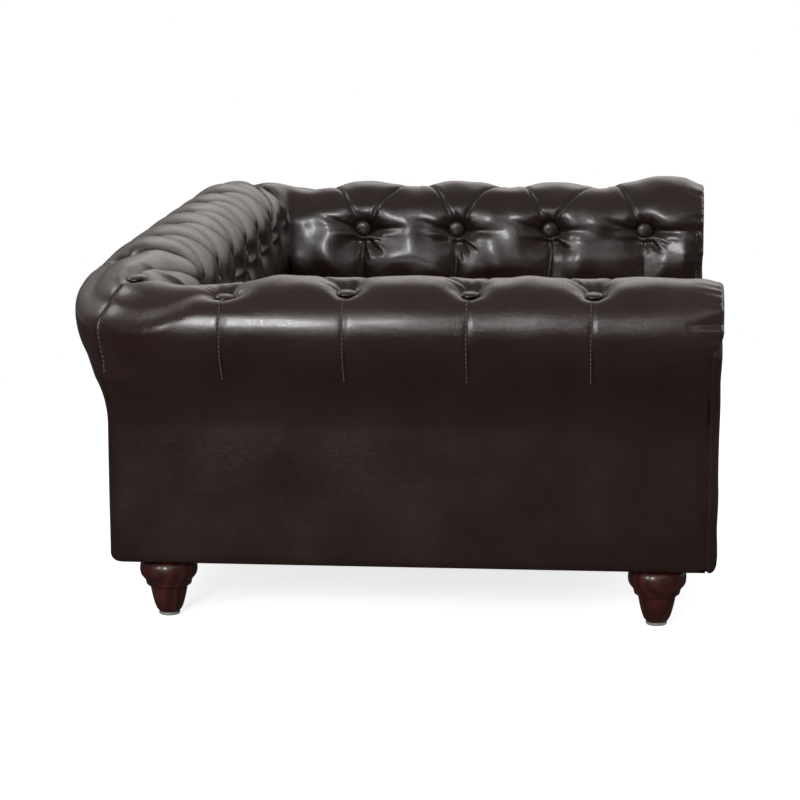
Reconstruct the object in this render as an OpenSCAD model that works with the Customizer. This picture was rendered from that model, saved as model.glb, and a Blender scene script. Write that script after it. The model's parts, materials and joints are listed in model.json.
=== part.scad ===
// Tufted pet sofa: rolled arms and back on a wooden frame, a loose seat cushion and four turned feet.
// Millimetres. X runs across, the open front faces -Y, Z = 0 is the floor, the origin is below the centre.

/* [Overall] */
// Width over both arm rolls
overall_w = 900; // [760:10:1100]
// Depth from the arm fronts to the back roll
overall_d = 606; // [520:2:760]
// Height of the arm rolls above the floor
arm_h = 329; // [300:1:380]
// How much higher the back roll stands than the arm rolls
back_rise = 13; // [6:1:40]

/* [Rolls] */
// Radius of the arm roll
arm_roll_r = 47; // [42:0.5:54]
// Radius of the back roll
back_roll_r = 56; // [50:0.5:60]
// How far the rolls stand out past the flat outside panels
overhang = 39; // [34:0.5:44]
// Radius of the roll's outer flank, below its widest line
flank_r = 58; // [50:1:64]
// Radius of the hollow under the roll
under_r = 72; // [60:1:80]
// Steepest lean of the roll's underside, from upright
under_lean = 36.6; // [34:0.1:40]
// Plan radius of the rounded back corners, at the roll's widest line
corner_r = 116; // [115:1:125]
// Plan radius of the back corners where the roll meets the outside panels
tuck_corner_r = 53; // [46:1:60]

/* [Padding and tufts] */
// Thickness of the foam and cover over the frame
pad_t = 20; // [18:0.5:23]
// Depth that a button pulls its tuft in
tuft_depth = 16; // [12:0.5:17]
// Reach of the hollow round a button
tuft_reach = 30; // [26:1:34]
// Depth of the pleats between the buttons
pleat_depth = 8; // [4:0.5:10]
// Depth of the pleats below the inner row of buttons
inner_pleat_depth = 5.6; // [3:0.2:8]
// Depth of the seams down the outside of the roll
outer_pleat_depth = 1.2; // [0.6:0.2:3]
// Depth of the corner seams down the outside of the roll
corner_pleat_depth = 2.4; // [0.6:0.2:4]
// Half width of a pleat's hollow
pleat_reach = 30; // [20:1:36]
// Depth that the cover is drawn in beside a facing
edge_depth = 3; // [1:0.5:5]
// Width of that draw
edge_reach = 14; // [10:1:20]
// Angle of the top row of buttons, outward from the top of the roll
top_row_lean = 27; // [22:1:32]
// Distance from the arm's front to its first top button
arm_button_first = 116; // [100:1:125]
// Spacing of the buttons along an arm
arm_button_pitch = 112; // [100:1:120]
// How far the inner row of an arm leads its top row
inner_row_lead = 47; // [40:1:56]
// Spacing of the buttons along the back
back_button_pitch = 96; // [84:1:110]
// Distance of the corner buttons from the roll's widest line
corner_button_inset = 44; // [38:1:52]

/* [Buttons] */
// Diameter of a covered button
button_d = 20; // [16:0.5:21]
// Height of a button's dome
button_h = 6; // [4:0.5:7]
// Diameter of the loop that the twine pulls on
button_loop_d = 4; // [3:0.5:6]
// Gap between a button and the cover below it
button_gap = 0.5; // [0.3:0.1:0.8]

/* [Frame] */
// Thickness of the outside panels
panel_t = 4; // [3:0.5:6]
// Thickness of the base rails
rail_t = 15; // [12:1:18]
// Height of the base rails
rail_h = 57; // [50:1:64]
// Thickness of the seat deck
deck_t = 12; // [9:1:15]
// Thickness of the shaped boards in the arms and back
board_t = 12; // [9:1:15]
// Thickness of the bent liner that carries the padding
liner_t = 2; // [1.5:0.5:3]
// Width of the long rails in the rolls
stay_w = 26; // [20:1:28]
// Thickness of the long rails in the arms and back
stay_t = 18; // [15:1:20]
// Clear height between the seat rails and the tuck rails
stay_gap = 8.5; // [2:0.5:20]
// Side of the square corner blocks
block_w = 55; // [50:1:60]
// Height of the corner blocks
block_h = 40; // [34:1:44]
// Side of the square posts in the back corners
post_w = 34; // [28:1:38]
// Width of the battens under the deck
batten_w = 18; // [15:1:24]
// Height of the battens under the deck
batten_h = 45; // [35:1:48]
// Distance between the two battens
batten_spacing = 300; // [220:10:400]
// Thickness of the dust cover
dust_t = 1; // [0.8:0.1:2]

/* [Facings and border] */
// Thickness of the padded arm facings
facing_t = 11; // [8:0.5:14]
// How far a facing's outline stays inside the roll's
facing_inset = 1; // [0.5:0.5:3]
// Rounding of a facing's front edge
facing_round = 8; // [5:0.5:9]
// Thickness of the padded front border
border_t = 8; // [6:0.5:10]
// Gap between sewn covers that lie side by side
cover_gap = 0.5; // [0.3:0.1:1]

/* [Cushion] */
// Gap between the cushion and each arm
cushion_side_gap = 4; // [2:0.5:8]
// Gap between the cushion and the front border
cushion_front_gap = 2; // [1:0.5:6]
// Gap between the cushion and the back
cushion_back_gap = 8; // [7:0.5:12]
// Height of the cushion at its edges
cushion_h = 76; // [60:1:90]
// Extra height at the middle of the cushion
cushion_crown = 12; // [6:1:18]
// How far the middle of each side is drawn in
cushion_draw = 4; // [2:0.5:8]
// Corner radius of the cushion in plan
cushion_corner_r = 28; // [20:1:36]
// Rounding of the cushion's upper and lower edges
cushion_edge = 9; // [6:1:14]
// Thickness of the cushion's cover and its wadding
cushion_wall = 14; // [12:1:18]
// Gap between loose pieces that rest on each other
rest_gap = 0.3; // [0.2:0.05:0.4]
// Distance from each end of the cushion to its zip
zip_inset = 72; // [60:2:160]
// Height of the zip's tape
zip_h = 12; // [10:1:16]
// Thickness of the zip's tape
zip_t = 2; // [1.5:0.5:3]
// Length of the zip's slider
slider_len = 13; // [10:1:16]
// Thickness of the zip's slider
slider_t = 3.5; // [3:0.5:4]
// Width of the slider
slider_w = 9; // [8:0.5:11]
// Length of the slider's pull tab, which hangs down
tab_len = 21; // [15:1:26]
// Width of the pull tab
tab_w = 6.5; // [5:0.5:8]
// Thickness of the pull tab
tab_t = 1.8; // [1:0.1:2.5]

/* [Feet] */
// Height of the feet, with their glides
foot_h = 56; // [45:1:70]
// Largest diameter of a foot
foot_d = 54.6; // [48:0.2:58]
// Diameter of a foot just above its glide
foot_tip_d = 20; // [18:0.5:24]
// Diameter of a foot below its collar
foot_neck_d = 35.5; // [30:0.5:38]
// Height of the collar's lower edge
foot_collar_z = 29; // [26:0.5:30]
// Distance of a foot's centre from the side panel
foot_inset_x = 33; // [30:0.5:36]
// Distance of the front feet's centres from the front of the frame
foot_inset_front = 43.5; // [38:0.5:48]
// Distance of the back feet's centres from the back panel
foot_inset_back = 51.5; // [48:0.5:56]
// Thickness of the glides
glide_t = 3; // [2:0.5:4]
// Diameter of the glides
glide_d = 20; // [16:0.5:20]
// Diameter of the nail on each glide
nail_d = 2.4; // [2:0.1:3]
// Length of the nail on each glide
nail_len = 9; // [6:1:10]
// Diameter of the screw that holds a foot
bolt_d = 8; // [6:1:8]
// Length of the screw that holds a foot
bolt_len = 70; // [60:1:72]
// Depth of the screw's end below the top of its corner block
bolt_sink = 4; // [1:0.5:6]
// Diameter of the flange of the nut in a corner block
nut_flange_d = 22; // [18:0.5:24]
// Thickness of that flange
nut_flange_t = 1.5; // [1:0.1:2]
// Diameter of the nut's barrel
nut_barrel_d = 10; // [9.5:0.1:11]
// Length of the nut's barrel
nut_barrel_len = 11; // [8:1:14]
// Play round screws and nuts
thread_gap = 0.05; // [0.03:0.01:0.1]

/* [Hidden] */
front_y = -overall_d / 2;
back_y = overall_d / 2;
half_w = overall_w / 2;
frame_front = front_y + facing_t;
frame_back = back_y - overhang - panel_t;
frame_half = half_w - overhang - panel_t;
base_z = foot_h + dust_t;
deck_z = base_z + rail_h + deck_t;
arm_mid_z = arm_h - arm_roll_r;
back_mid_z = arm_h + back_rise - back_roll_r;
arm_inner = 2 * arm_roll_r;
back_inner = 2 * back_roll_r;
corner_y = back_y - corner_r;
corner_x = half_w - corner_r;
// Places on the outline: 0 to 1 hollow, to 2 straight, to 3 round flank, to 4 roll up to its top row
// of buttons, to 5 roll over to its inner row, to 6 inner face
top_row = 4;
inner_row = 5;
top_row_angle = 90 + top_row_lean;
straight_len = (overhang - (1 - cos(under_lean)) * (flank_r + under_r)) / sin(under_lean);
hollow_drop = (flank_r + under_r) * sin(under_lean) + straight_len * cos(under_lean);
tuck_z = arm_mid_z - hollow_drop;
flank_len = flank_r * under_lean * PI / 180;
stay_h = (tuck_z - deck_z - stay_gap) / 2;
skin_steps = [0, 0.35, 0.7, 1, 2, 2.5, 3, 3.33, 3.67, 4, 4.167, 4.333, 4.5, 4.667, 4.833, 5, 5.5, 6];
core_steps = [0, 1.5, 3, 4, 4.3, 4.65, 5, 6];
facing_steps = [0, 0.25, 0.5, 0.75, 1, 2, 2.25, 2.5, 2.75, 3, 3.33, 3.67,
    4, 4.14, 4.28, 4.42, 4.56, 4.7, 4.85, 5];
corner_steps = [1 / 3, 2 / 3, 1];
panel_corner_r = tuck_corner_r - overhang;
panel_half = half_w - overhang;
panel_back = back_y - overhang;
core_inset = pad_t + liner_t;
arm_end = corner_y - board_t;
back_end = corner_x - board_t;
foot_x = panel_half - foot_inset_x;
foot_front_y = frame_front + foot_inset_front;
foot_back_y = panel_back - foot_inset_back;
screw_z = base_z + block_h - bolt_sink - bolt_len;
cushion_half = half_w - arm_inner - cushion_side_gap;
cushion_front = frame_front + cushion_front_gap;
cushion_back = back_y - back_inner - cushion_back_gap;
cushion_z = deck_z + rest_gap;
cushion_mid_y = (cushion_front + cushion_back) / 2;
cushion_half_y = (cushion_back - cushion_front) / 2;
zip_mid_z = cushion_z + cushion_h / 2;
zip_len = 2 * (cushion_half - zip_inset);
slider_x = -zip_len / 2 + slider_len;
round_fn = 48;
small_fn = 24;

function mix(a, b, t) = a + (b - a) * t;
function ease(t) = t * t * (3 - 2 * t);
function clamp01(t) = max(0, min(1, t));

// A point on the roll's outline and the direction straight out of it: [inward, up, inward part, up part].
// u is the place along the outline, r the roll's radius and mid_z the height of its centre.
function on_hollow(t) =
    let (angle = under_lean * t)
    [overhang - under_r * (1 - cos(angle)), tuck_z + under_r * sin(angle), -cos(angle), -sin(angle)];
function on_flank(t, mid_z) =
    let (angle = 180 + under_lean * (1 - t))
    [flank_r * (1 + cos(angle)), mid_z + flank_r * sin(angle), cos(angle), sin(angle)];
function on_roll(angle, r, mid_z) = [r * (1 + cos(angle)), mid_z + r * sin(angle), cos(angle), sin(angle)];
function outline(u, r, mid_z) =
    u < 1 ? on_hollow(u) :
    u < 2 ? mix(on_hollow(1), on_flank(0, mid_z), u - 1) :
    u < 3 ? on_flank(u - 2, mid_z) :
    u < top_row ? on_roll(mix(180, top_row_angle, u - 3), r, mid_z) :
    u < inner_row ? on_roll(mix(top_row_angle, 0, u - top_row), r, mid_z) :
    [2 * r, mix(mid_z, deck_z + rest_gap, u - inner_row), 1, 0];
function shifted(p, out) = [p[0] + p[2] * out, p[1] + p[3] * out];

// Distance along the outline from the top row of buttons, positive towards the inner face
function along(u, r, mid_z) =
    u < 3 ? -r * (180 - top_row_angle) * PI / 180 - (3 - u) * flank_len :
    u < top_row ? (u - top_row) * r * (180 - top_row_angle) * PI / 180 :
    u < inner_row ? (u - top_row) * r * top_row_angle * PI / 180 :
    r * top_row_angle * PI / 180 + (u - inner_row) * (mid_z - deck_z);

// Depth of the cover below its full shape at (p, q), with p along the roll and q along the outline
function line_gap(p, q, from, to) =
    let (d = to - from, t = clamp01(((p - from[0]) * d[0] + (q - from[1]) * d[1]) / (d * d)))
    norm([p, q] - from - d * t);
function hollow(gap, depth, reach) = depth * pow(max(0, 1 - gap / reach), 1.5);
function pit(gap) = tuft_depth * max(0, 1 - gap / tuft_reach);
function tuft(p, q, tops, inners, inner_q) =
    max(concat([0],
        [for (t = tops) pit(norm([p - t, q]))],
        [for (t = inners) pit(norm([p - t, q - inner_q]))],
        [for (t = tops) for (f = inners) if (abs(t - f) < arm_button_pitch - tuft_reach)
            hollow(line_gap(p, q, [t, 0], [f, inner_q]), pleat_depth, pleat_reach)],
        [for (f = inners) q > inner_q ? hollow(abs(p - f), inner_pleat_depth, pleat_reach) : 0],
        [for (t = tops) q < 0 ? hollow(abs(p - t), outer_pleat_depth, pleat_reach / 2) : 0]));

// Places of the buttons along an arm, from the front of the overall depth, and along the back, from the middle
arm_straight = corner_y - front_y;
arm_buttons = floor((arm_straight - arm_button_first - tuft_reach) / arm_button_pitch) + 1;
back_buttons = 2 * floor((corner_x - tuft_reach) / back_button_pitch) + 1;
arm_tops = [for (i = [0:arm_buttons - 1]) arm_button_first + i * arm_button_pitch];
arm_inners = [for (t = arm_tops) t - inner_row_lead];
back_tops = [for (i = [0:back_buttons - 1]) (i - (back_buttons - 1) / 2) * back_button_pitch];
back_inners = [for (i = [0:back_buttons - 2]) (i - (back_buttons - 2) / 2) * back_button_pitch];

// A plan point in the left back corner at share t of the way to the mitre, a in from the roll's widest line
function corner_point(a, u, t) =
    let (whole = u < 3 ? mix(tuck_corner_r, corner_r, ease(u / 3)) : corner_r,
        rho = max(3, whole - a),
        run = corner_r - a - rho,
        arc = rho * PI / 4,
        len = t * (run + arc),
        angle = len < run ? 0 : (len - run) / rho * 180 / PI,
        y = len < run ? corner_y + len : back_y - a - rho + rho * sin(angle))
    [-half_w + a + rho * (1 - cos(angle)), y];
function mirrored_corner(xy) = [-half_w + back_y - xy[1], back_y - half_w - xy[0]];

// Rings of the left arm's padding: straight stations from the front, then the corner
last_top = arm_tops[arm_buttons - 1];
arm_stations = concat(
    [for (k = [0:3]) mix(facing_t, arm_inners[0], k / 4)],
    [for (i = [0:arm_buttons - 1]) for (k = [0:5])
        if (i < arm_buttons - 1 || k < 3)
            k < 3 ? arm_inners[i] + k * inner_row_lead / 3
                : arm_tops[i] + (k - 3) * (arm_button_pitch - inner_row_lead) / 3],
    [last_top, mix(last_top, arm_straight, 0.5), arm_straight]);
last_back_top = back_tops[back_buttons - 1];
back_stations = concat(
    [-corner_x, mix(-corner_x, -last_back_top, 0.5)],
    [for (i = [0:6 * (back_buttons - 1)]) -last_back_top + i * back_button_pitch / 6],
    [mix(corner_x, last_back_top, 0.5), corner_x]);
function arm_r(t) = mix(arm_roll_r, (arm_roll_r + back_roll_r) / 2, ease(t));
function arm_z(t) = mix(arm_mid_z, (arm_mid_z + back_mid_z) / 2, ease(t));
function back_r(t) = mix(back_roll_r, (arm_roll_r + back_roll_r) / 2, ease(t));
function back_z(t) = mix(back_mid_z, (arm_mid_z + back_mid_z) / 2, ease(t));
corner_arc = (corner_r - corner_button_inset) * PI / 4;
function corner_angle(r) = acos((corner_button_inset - r) / r);
function corner_tuft(p, q, end_p, r) =
    let (corner_q = r * (top_row_angle - corner_angle(r)) * PI / 180)
    max(pit(norm([p - end_p, q - corner_q])),
        hollow(abs(p - end_p), q > corner_q ? pleat_depth : corner_pleat_depth, pleat_reach));
function arm_skin(p, u, t) =
    let (r = arm_r(t), z = arm_z(t), o = outline(u, r, z), q = along(u, r, z),
        edge = hollow(p - facing_t, edge_depth, edge_reach),
        end_p = arm_straight + corner_arc,
        dip = max(tuft(p, q, arm_tops, arm_inners, along(inner_row, r, z)), corner_tuft(p, q, end_p, r), edge))
    shifted(o, -dip * (u < 1 ? u : 1));
function back_skin(p, u, t) =
    let (r = back_r(t), z = back_z(t), o = outline(u, r, z), q = along(u, r, z),
        end_p = corner_x + corner_arc,
        dip = max(tuft(p, q, back_tops, back_inners, along(inner_row, r, z)), corner_tuft(abs(p), q, end_p, r)))
    shifted(o, -dip * (u < 1 ? u : 1));
function arm_core(u, t) = shifted(outline(u, arm_r(t), arm_z(t)), -pad_t);
function back_core(u, t) = shifted(outline(u, back_r(t), back_z(t)), -pad_t);

function arm_ring(p, t) = concat(
    [for (u = skin_steps) let (s = arm_skin(p + t * corner_arc, u, t)) arm_place(p, s, u, t)],
    [for (i = [len(core_steps) - 1:-1:0]) let (u = core_steps[i]) arm_place(p, arm_core(u, t), u, t)]);
function arm_place(p, s, u, t) =
    t == 0 ? [-half_w + s[0], front_y + p, s[1]] : let (c = corner_point(s[0], u, t)) [c[0], c[1], s[1]];
function back_ring(p, t) = concat(
    [for (u = skin_steps) let (s = back_skin(p + sign(p) * t * corner_arc, u, t)) back_place(p, s, u, t)],
    [for (i = [len(core_steps) - 1:-1:0]) let (u = core_steps[i]) back_place(p, back_core(u, t), u, t)]);
function back_place(p, s, u, t) =
    t == 0 ? [p, back_y - s[0], s[1]] :
    let (c = mirrored_corner(corner_point(s[0], u, t))) [c[0] * (p < 0 ? 1 : -1), c[1], s[1]];

// Triangles that close an end of n points: a strip across a convex ring, or a fan from a point that sees all
function strip_end(n) =
    [for (i = [0:n / 2 - 2]) for (f = [0, 1]) f == 0 ? [i, i + 1, n - 1 - i] : [i + 1, n - 2 - i, n - 1 - i]];
function fan_end(n, from) = [for (k = [1:n - 2]) [from, (from + k) % n, (from + k + 1) % n]];
// Triangles between the skin and the core of a pad; the core steps on at the skin point nearest halfway
function core_switch(j) = len([for (u = skin_steps) if (u < (core_steps[j] + core_steps[j + 1]) / 2) u]);
pad_end =
    let (n = len(skin_steps) + len(core_steps), last = len(core_steps) - 2)
    concat(
        [for (i = [0:len(skin_steps) - 2])
            [i, i + 1, n - 1 - len([for (j = [0:last]) if (core_switch(j) <= i) j])]],
        [for (j = [0:last]) [n - 2 - j, n - 1 - j, core_switch(j)]]);

// A closed solid through rings of equal count, with the triangles of its ends
module loft(rings, end) {
    n = len(rings[0]);
    last = len(rings) - 1;
    polyhedron(
        points = [for (ring = rings) for (p = ring) p],
        faces = concat(
            end,
            [for (k = [0:last - 1]) for (i = [0:n - 1]) for (f = [0, 1])
                let (a = k * n + i, b = k * n + (i + 1) % n)
                f == 0 ? [a, a + n, b] : [b, a + n, b + n]],
            [for (face = end) [for (i = turned(face)) last * n + i]]));
}

// One side of the sofa as drawn, or its mirror image
module side(s) {
    if (s == "left") children();
    else mirror([1, 0, 0]) children();
}
// Extrudes a drawing of the section, with X inward from the roll line and Y up, along the arm
module along_arm(y0, y1) {
    translate([-half_w, y1, 0]) rotate([90, 0, 0]) linear_extrude(y1 - y0) children();
}
// The same along the back
module along_back(x0, x1) {
    translate([x1, back_y, 0]) rotate([0, 0, -90]) rotate([90, 0, 0]) linear_extrude(x1 - x0) children();
}
// A box given by two opposite corners
module box(low, high) {
    translate(low) cube(high - low);
}

// Points of the section at one depth below the full shape
function section(steps, r, mid_z, inset) =
    [for (u = steps) let (s = shifted(outline(u, r, mid_z), -inset)) [s[0], s[1]]];
function turned(v) = [for (i = [len(v) - 1:-1:0]) v[i]];
function arc_points(x, y, r, from, to) =
    [for (k = [0:6]) let (a = mix(from, to, k / 6)) [x + r * cos(a), y + r * sin(a)]];
function across(v) = turned([for (p = v) [-p[0], p[1]]]);

// Drawing of a shaped board of the arms or back, and of the liner bent over it
module board_drawing(r, mid_z) {
    polygon(concat([[overhang + panel_t, deck_z], [overhang + panel_t, tuck_z]],
        section(core_steps, r, mid_z, core_inset), [[2 * r - core_inset, deck_z]]));
}
module liner_drawing(r, mid_z) {
    polygon(concat(section(core_steps, r, mid_z, pad_t), turned(section(core_steps, r, mid_z, core_inset))));
}
// Drawings of the long rails: in the roll, below the tuck line and at the seat
module top_rail_drawing(r, mid_z) {
    translate([r - stay_w / 2, mid_z - stay_t / 2]) square([stay_w, stay_t]);
}
module tuck_rail_drawing() {
    translate([overhang + panel_t, tuck_z - stay_h]) square([stay_t, stay_h]);
}
module seat_rail_drawing(r) {
    translate([2 * r - core_inset - stay_t, deck_z]) square([stay_t, stay_h]);
}

// Base frame
module rail_front() {
    color("burlywood")
        box([-frame_half, frame_front, base_z], [frame_half, frame_front + rail_t, base_z + rail_h]);
}
module rail_back() {
    color("burlywood") translate([0, 0, base_z]) linear_extrude(rail_h)
        polygon(concat([[-frame_half, frame_back - rail_t]], frame_corner, across(frame_corner),
            [[frame_half, frame_back - rail_t]]));
}
module side_rail(s) {
    color("burlywood") side(s)
        box([-frame_half, frame_front + rail_t, base_z],
            [rail_t - frame_half, frame_back - rail_t, base_z + rail_h]);
}
module rail_left() { side_rail("left"); }
module rail_right() { side_rail("right"); }
// Centre of the panels' left back corner, and the frame's corner inside it
corner_centre = [panel_corner_r - panel_half, panel_back - panel_corner_r];
frame_corner = arc_points(corner_centre[0], corner_centre[1], panel_corner_r - panel_t, 180, 90);

// Corner blocks, each bored for the nut and screw of its foot
module corner_block(s, y0, foot_y) {
    color("tan") side(s) difference() {
        box([rail_t - frame_half, y0, base_z], [rail_t - frame_half + block_w, y0 + block_w, base_z + block_h]);
        translate([-foot_x, foot_y, base_z - 1])
            cylinder(d = bolt_d + 4 * thread_gap, h = block_h + 2, $fn = small_fn);
        translate([-foot_x, foot_y, base_z + block_h - nut_barrel_len])
            cylinder(d = nut_barrel_d + 2 * thread_gap, h = nut_barrel_len + 1, $fn = small_fn);
    }
}
module corner_block_front_left() { corner_block("left", frame_front + rail_t, foot_front_y); }
module corner_block_front_right() { corner_block("right", frame_front + rail_t, foot_front_y); }
module corner_block_back_left() { corner_block("left", frame_back - rail_t - block_w, foot_back_y); }
module corner_block_back_right() { corner_block("right", frame_back - rail_t - block_w, foot_back_y); }

// Battens and deck under the cushion
module deck_batten(s) {
    color("tan") side(s) box(
        [-(batten_spacing + batten_w) / 2, frame_front + rail_t, base_z + rail_h - batten_h],
        [-(batten_spacing - batten_w) / 2, frame_back - rail_t, base_z + rail_h]);
}
module deck_batten_left() { deck_batten("left"); }
module deck_batten_right() { deck_batten("right"); }
// Plan of the frame with its rounded back corners
module frame_plan() {
    polygon(concat([[-frame_half, frame_front]], frame_corner,
        across(frame_corner), [[frame_half, frame_front]]));
}
module seat_deck() {
    color("wheat") translate([0, 0, base_z + rail_h]) linear_extrude(deck_t) frame_plan();
}

// Posts, shaped boards and long rails of the arms and back
module corner_post(s) {
    color("tan") side(s) translate([0, 0, deck_z]) linear_extrude(tuck_z - deck_z)
        polygon(concat([[-frame_half, frame_back - post_w]], frame_corner,
            [[post_w - frame_half, frame_back], [post_w - frame_half, frame_back - post_w]]));
}
module corner_post_left() { corner_post("left"); }
module corner_post_right() { corner_post("right"); }
module arm_board(s, y) {
    color("burlywood") side(s) along_arm(y, y + board_t) board_drawing(arm_roll_r, arm_mid_z);
}
module arm_board_front_left() { arm_board("left", frame_front); }
module arm_board_front_right() { arm_board("right", frame_front); }
module arm_board_rear_left() { arm_board("left", arm_end); }
module arm_board_rear_right() { arm_board("right", arm_end); }
module arm_rail(s) {
    color("tan") side(s) along_arm(frame_front + board_t, arm_end) children();
}
module arm_rail_top_left() { arm_rail("left") top_rail_drawing(arm_roll_r, arm_mid_z); }
module arm_rail_top_right() { arm_rail("right") top_rail_drawing(arm_roll_r, arm_mid_z); }
module arm_rail_tuck_left() { arm_rail("left") tuck_rail_drawing(); }
module arm_rail_tuck_right() { arm_rail("right") tuck_rail_drawing(); }
module arm_rail_seat_left() { arm_rail("left") seat_rail_drawing(arm_roll_r); }
module arm_rail_seat_right() { arm_rail("right") seat_rail_drawing(arm_roll_r); }
module back_rail() { color("tan") along_back(-back_end, back_end) children(); }
module back_rail_top() { back_rail() top_rail_drawing(back_roll_r, back_mid_z); }
module back_rail_tuck() { back_rail() tuck_rail_drawing(); }
module back_rail_seat() { back_rail() seat_rail_drawing(back_roll_r); }
module back_board(s) {
    color("burlywood") side(s) along_back(-corner_x, -back_end) board_drawing(back_roll_r, back_mid_z);
}
module back_board_left() { back_board("left"); }
module back_board_right() { back_board("right"); }
// The middle board is notched over the three rails
module back_board_middle() {
    color("burlywood") along_back(-board_t / 2, board_t / 2) difference() {
        board_drawing(back_roll_r, back_mid_z);
        top_rail_drawing(back_roll_r, back_mid_z);
        tuck_rail_drawing();
        seat_rail_drawing(back_roll_r);
    }
}
module arm_liner(s) {
    color("peru") side(s) along_arm(frame_front, corner_y) liner_drawing(arm_roll_r, arm_mid_z);
}
module arm_liner_left() { arm_liner("left"); }
module arm_liner_right() { arm_liner("right"); }
module back_liner() {
    color("peru") along_back(-corner_x, corner_x) liner_drawing(back_roll_r, back_mid_z);
}

// Tufted padding with its cover
module arm_pad(s) {
    color("#2b2322") side(s) loft(concat(
        [for (p = arm_stations) arm_ring(p, 0)],
        [for (t = corner_steps) arm_ring(arm_straight, t)]), pad_end);
}
module arm_pad_left() { arm_pad("left"); }
module arm_pad_right() { arm_pad("right"); }
module back_pad() {
    color("#2b2322") loft(concat(
        [for (t = turned(corner_steps)) back_ring(-corner_x, t)],
        [for (p = back_stations) back_ring(p, 0)],
        [for (t = corner_steps) back_ring(corner_x, t)]), pad_end);
}

// A covered button, coned below like its pit, with its loop; its base is at the origin
loop_len = tuft_depth * (button_d - button_loop_d) / 2 / tuft_reach + button_gap - rest_gap;
button_sink = tuft_depth * (1 - button_d / 2 / tuft_reach) - button_gap;
module button() {
    rim = button_h / 2;
    rotate_extrude($fn = small_fn) polygon(concat(
        [[0, -loop_len], [button_loop_d / 2, -loop_len], [button_loop_d / 2, 0], [button_d / 4, 0]],
        [for (a = [0:15:75]) [button_d / 2 * cos(a), rim + (button_h - rim) * sin(a)]], [[0, button_h]]));
}
module arm_button(y, angle) {
    s = shifted(on_roll(angle, arm_roll_r, arm_mid_z), -button_sink);
    translate([-half_w + s[0], y, s[1]]) rotate([0, 90 - angle, 0]) button();
}
module back_button(x, angle) {
    s = shifted(on_roll(angle, back_roll_r, back_mid_z), -button_sink);
    translate([x, back_y - s[0], s[1]]) rotate([90 - angle, 0, 0]) button();
}
module arm_buttons_side(s) {
    color("#241d1c") side(s) {
        for (t = arm_tops) arm_button(front_y + t, top_row_angle);
        for (t = arm_inners) arm_button(front_y + t, 0);
    }
}
module arm_buttons_left() { arm_buttons_side("left"); }
module arm_buttons_right() { arm_buttons_side("right"); }
module back_buttons_row() {
    color("#241d1c") {
        for (t = back_tops) back_button(t, top_row_angle);
        for (t = back_inners) back_button(t, 0);
    }
}
module corner_buttons() {
    r = arm_r(1);
    s = shifted(on_roll(corner_angle(r), r, arm_z(1)), -button_sink);
    place = corner_point(s[0], top_row, 1);
    color("#241d1c") for (s_name = ["left", "right"]) side(s_name)
        translate([place[0], place[1], s[1]]) rotate([0, 0, -45]) rotate([0, 90 - corner_angle(r), 0]) button();
}

// Plain outside panels, facings and border
function panel_corner(r, from, to) = arc_points(corner_centre[0], corner_centre[1], r, from, to);
module outside_panel(s) {
    color("#2b2322") side(s) translate([0, 0, foot_h]) linear_extrude(tuck_z - foot_h)
        polygon(concat([[-panel_half, frame_front]], panel_corner(panel_corner_r, 180, 135),
            panel_corner(panel_corner_r - panel_t, 135, 180), [[panel_t - panel_half, frame_front]]));
}
module outside_panel_left() { outside_panel("left"); }
module outside_panel_right() { outside_panel("right"); }
module outside_panel_back() {
    outer = panel_corner(panel_corner_r, 135, 90);
    inner = panel_corner(panel_corner_r - panel_t, 135, 90);
    color("#2b2322") translate([0, 0, foot_h]) linear_extrude(tuck_z - foot_h)
        polygon(concat(outer, across(outer), turned(across(inner)), turned(inner)));
}
// The facing's outline at one depth, smaller than the roll's section by an inset
function facing_ring(y, inset) =
    [for (p = concat([[overhang + inset, foot_h + inset]], section(facing_steps, arm_roll_r, arm_mid_z, inset),
        [[arm_inner - inset, foot_h + inset]])) [-half_w + p[0], y, p[1]]];
module arm_facing(s) {
    rings = [
        facing_ring(front_y, facing_inset + facing_round),
        facing_ring(front_y + 0.2 * facing_round, facing_inset + 0.4 * facing_round),
        facing_ring(front_y + 0.6 * facing_round, facing_inset),
        facing_ring(frame_front, facing_inset)];
    color("#2b2322") side(s) loft(rings, fan_end(len(rings[0]), len(facing_steps)));
}
module arm_facing_left() { arm_facing("left"); }
module arm_facing_right() { arm_facing("right"); }
module front_border() {
    r = 0.6 * border_t;
    half = half_w - arm_inner + facing_inset - cover_gap;
    color("#2b2322") translate([-half, 0, 0]) rotate([90, 0, 90]) linear_extrude(2 * half)
        polygon(concat([[frame_front, foot_h]],
            turned(arc_points(frame_front - border_t + r, foot_h + r, r, 180, 270)),
            turned(arc_points(frame_front - border_t + r, deck_z - r, r, 90, 180)), [[frame_front, deck_z]]));
}
module dust_cover() {
    color("#1c1c1c") translate([0, 0, foot_h]) difference() {
        linear_extrude(dust_t) frame_plan();
        for (x = [-foot_x, foot_x]) for (y = [foot_front_y, foot_back_y])
            translate([x, y, -1]) cylinder(d = bolt_d + 2, h = dust_t + 2, $fn = small_fn);
    }
}

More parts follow.
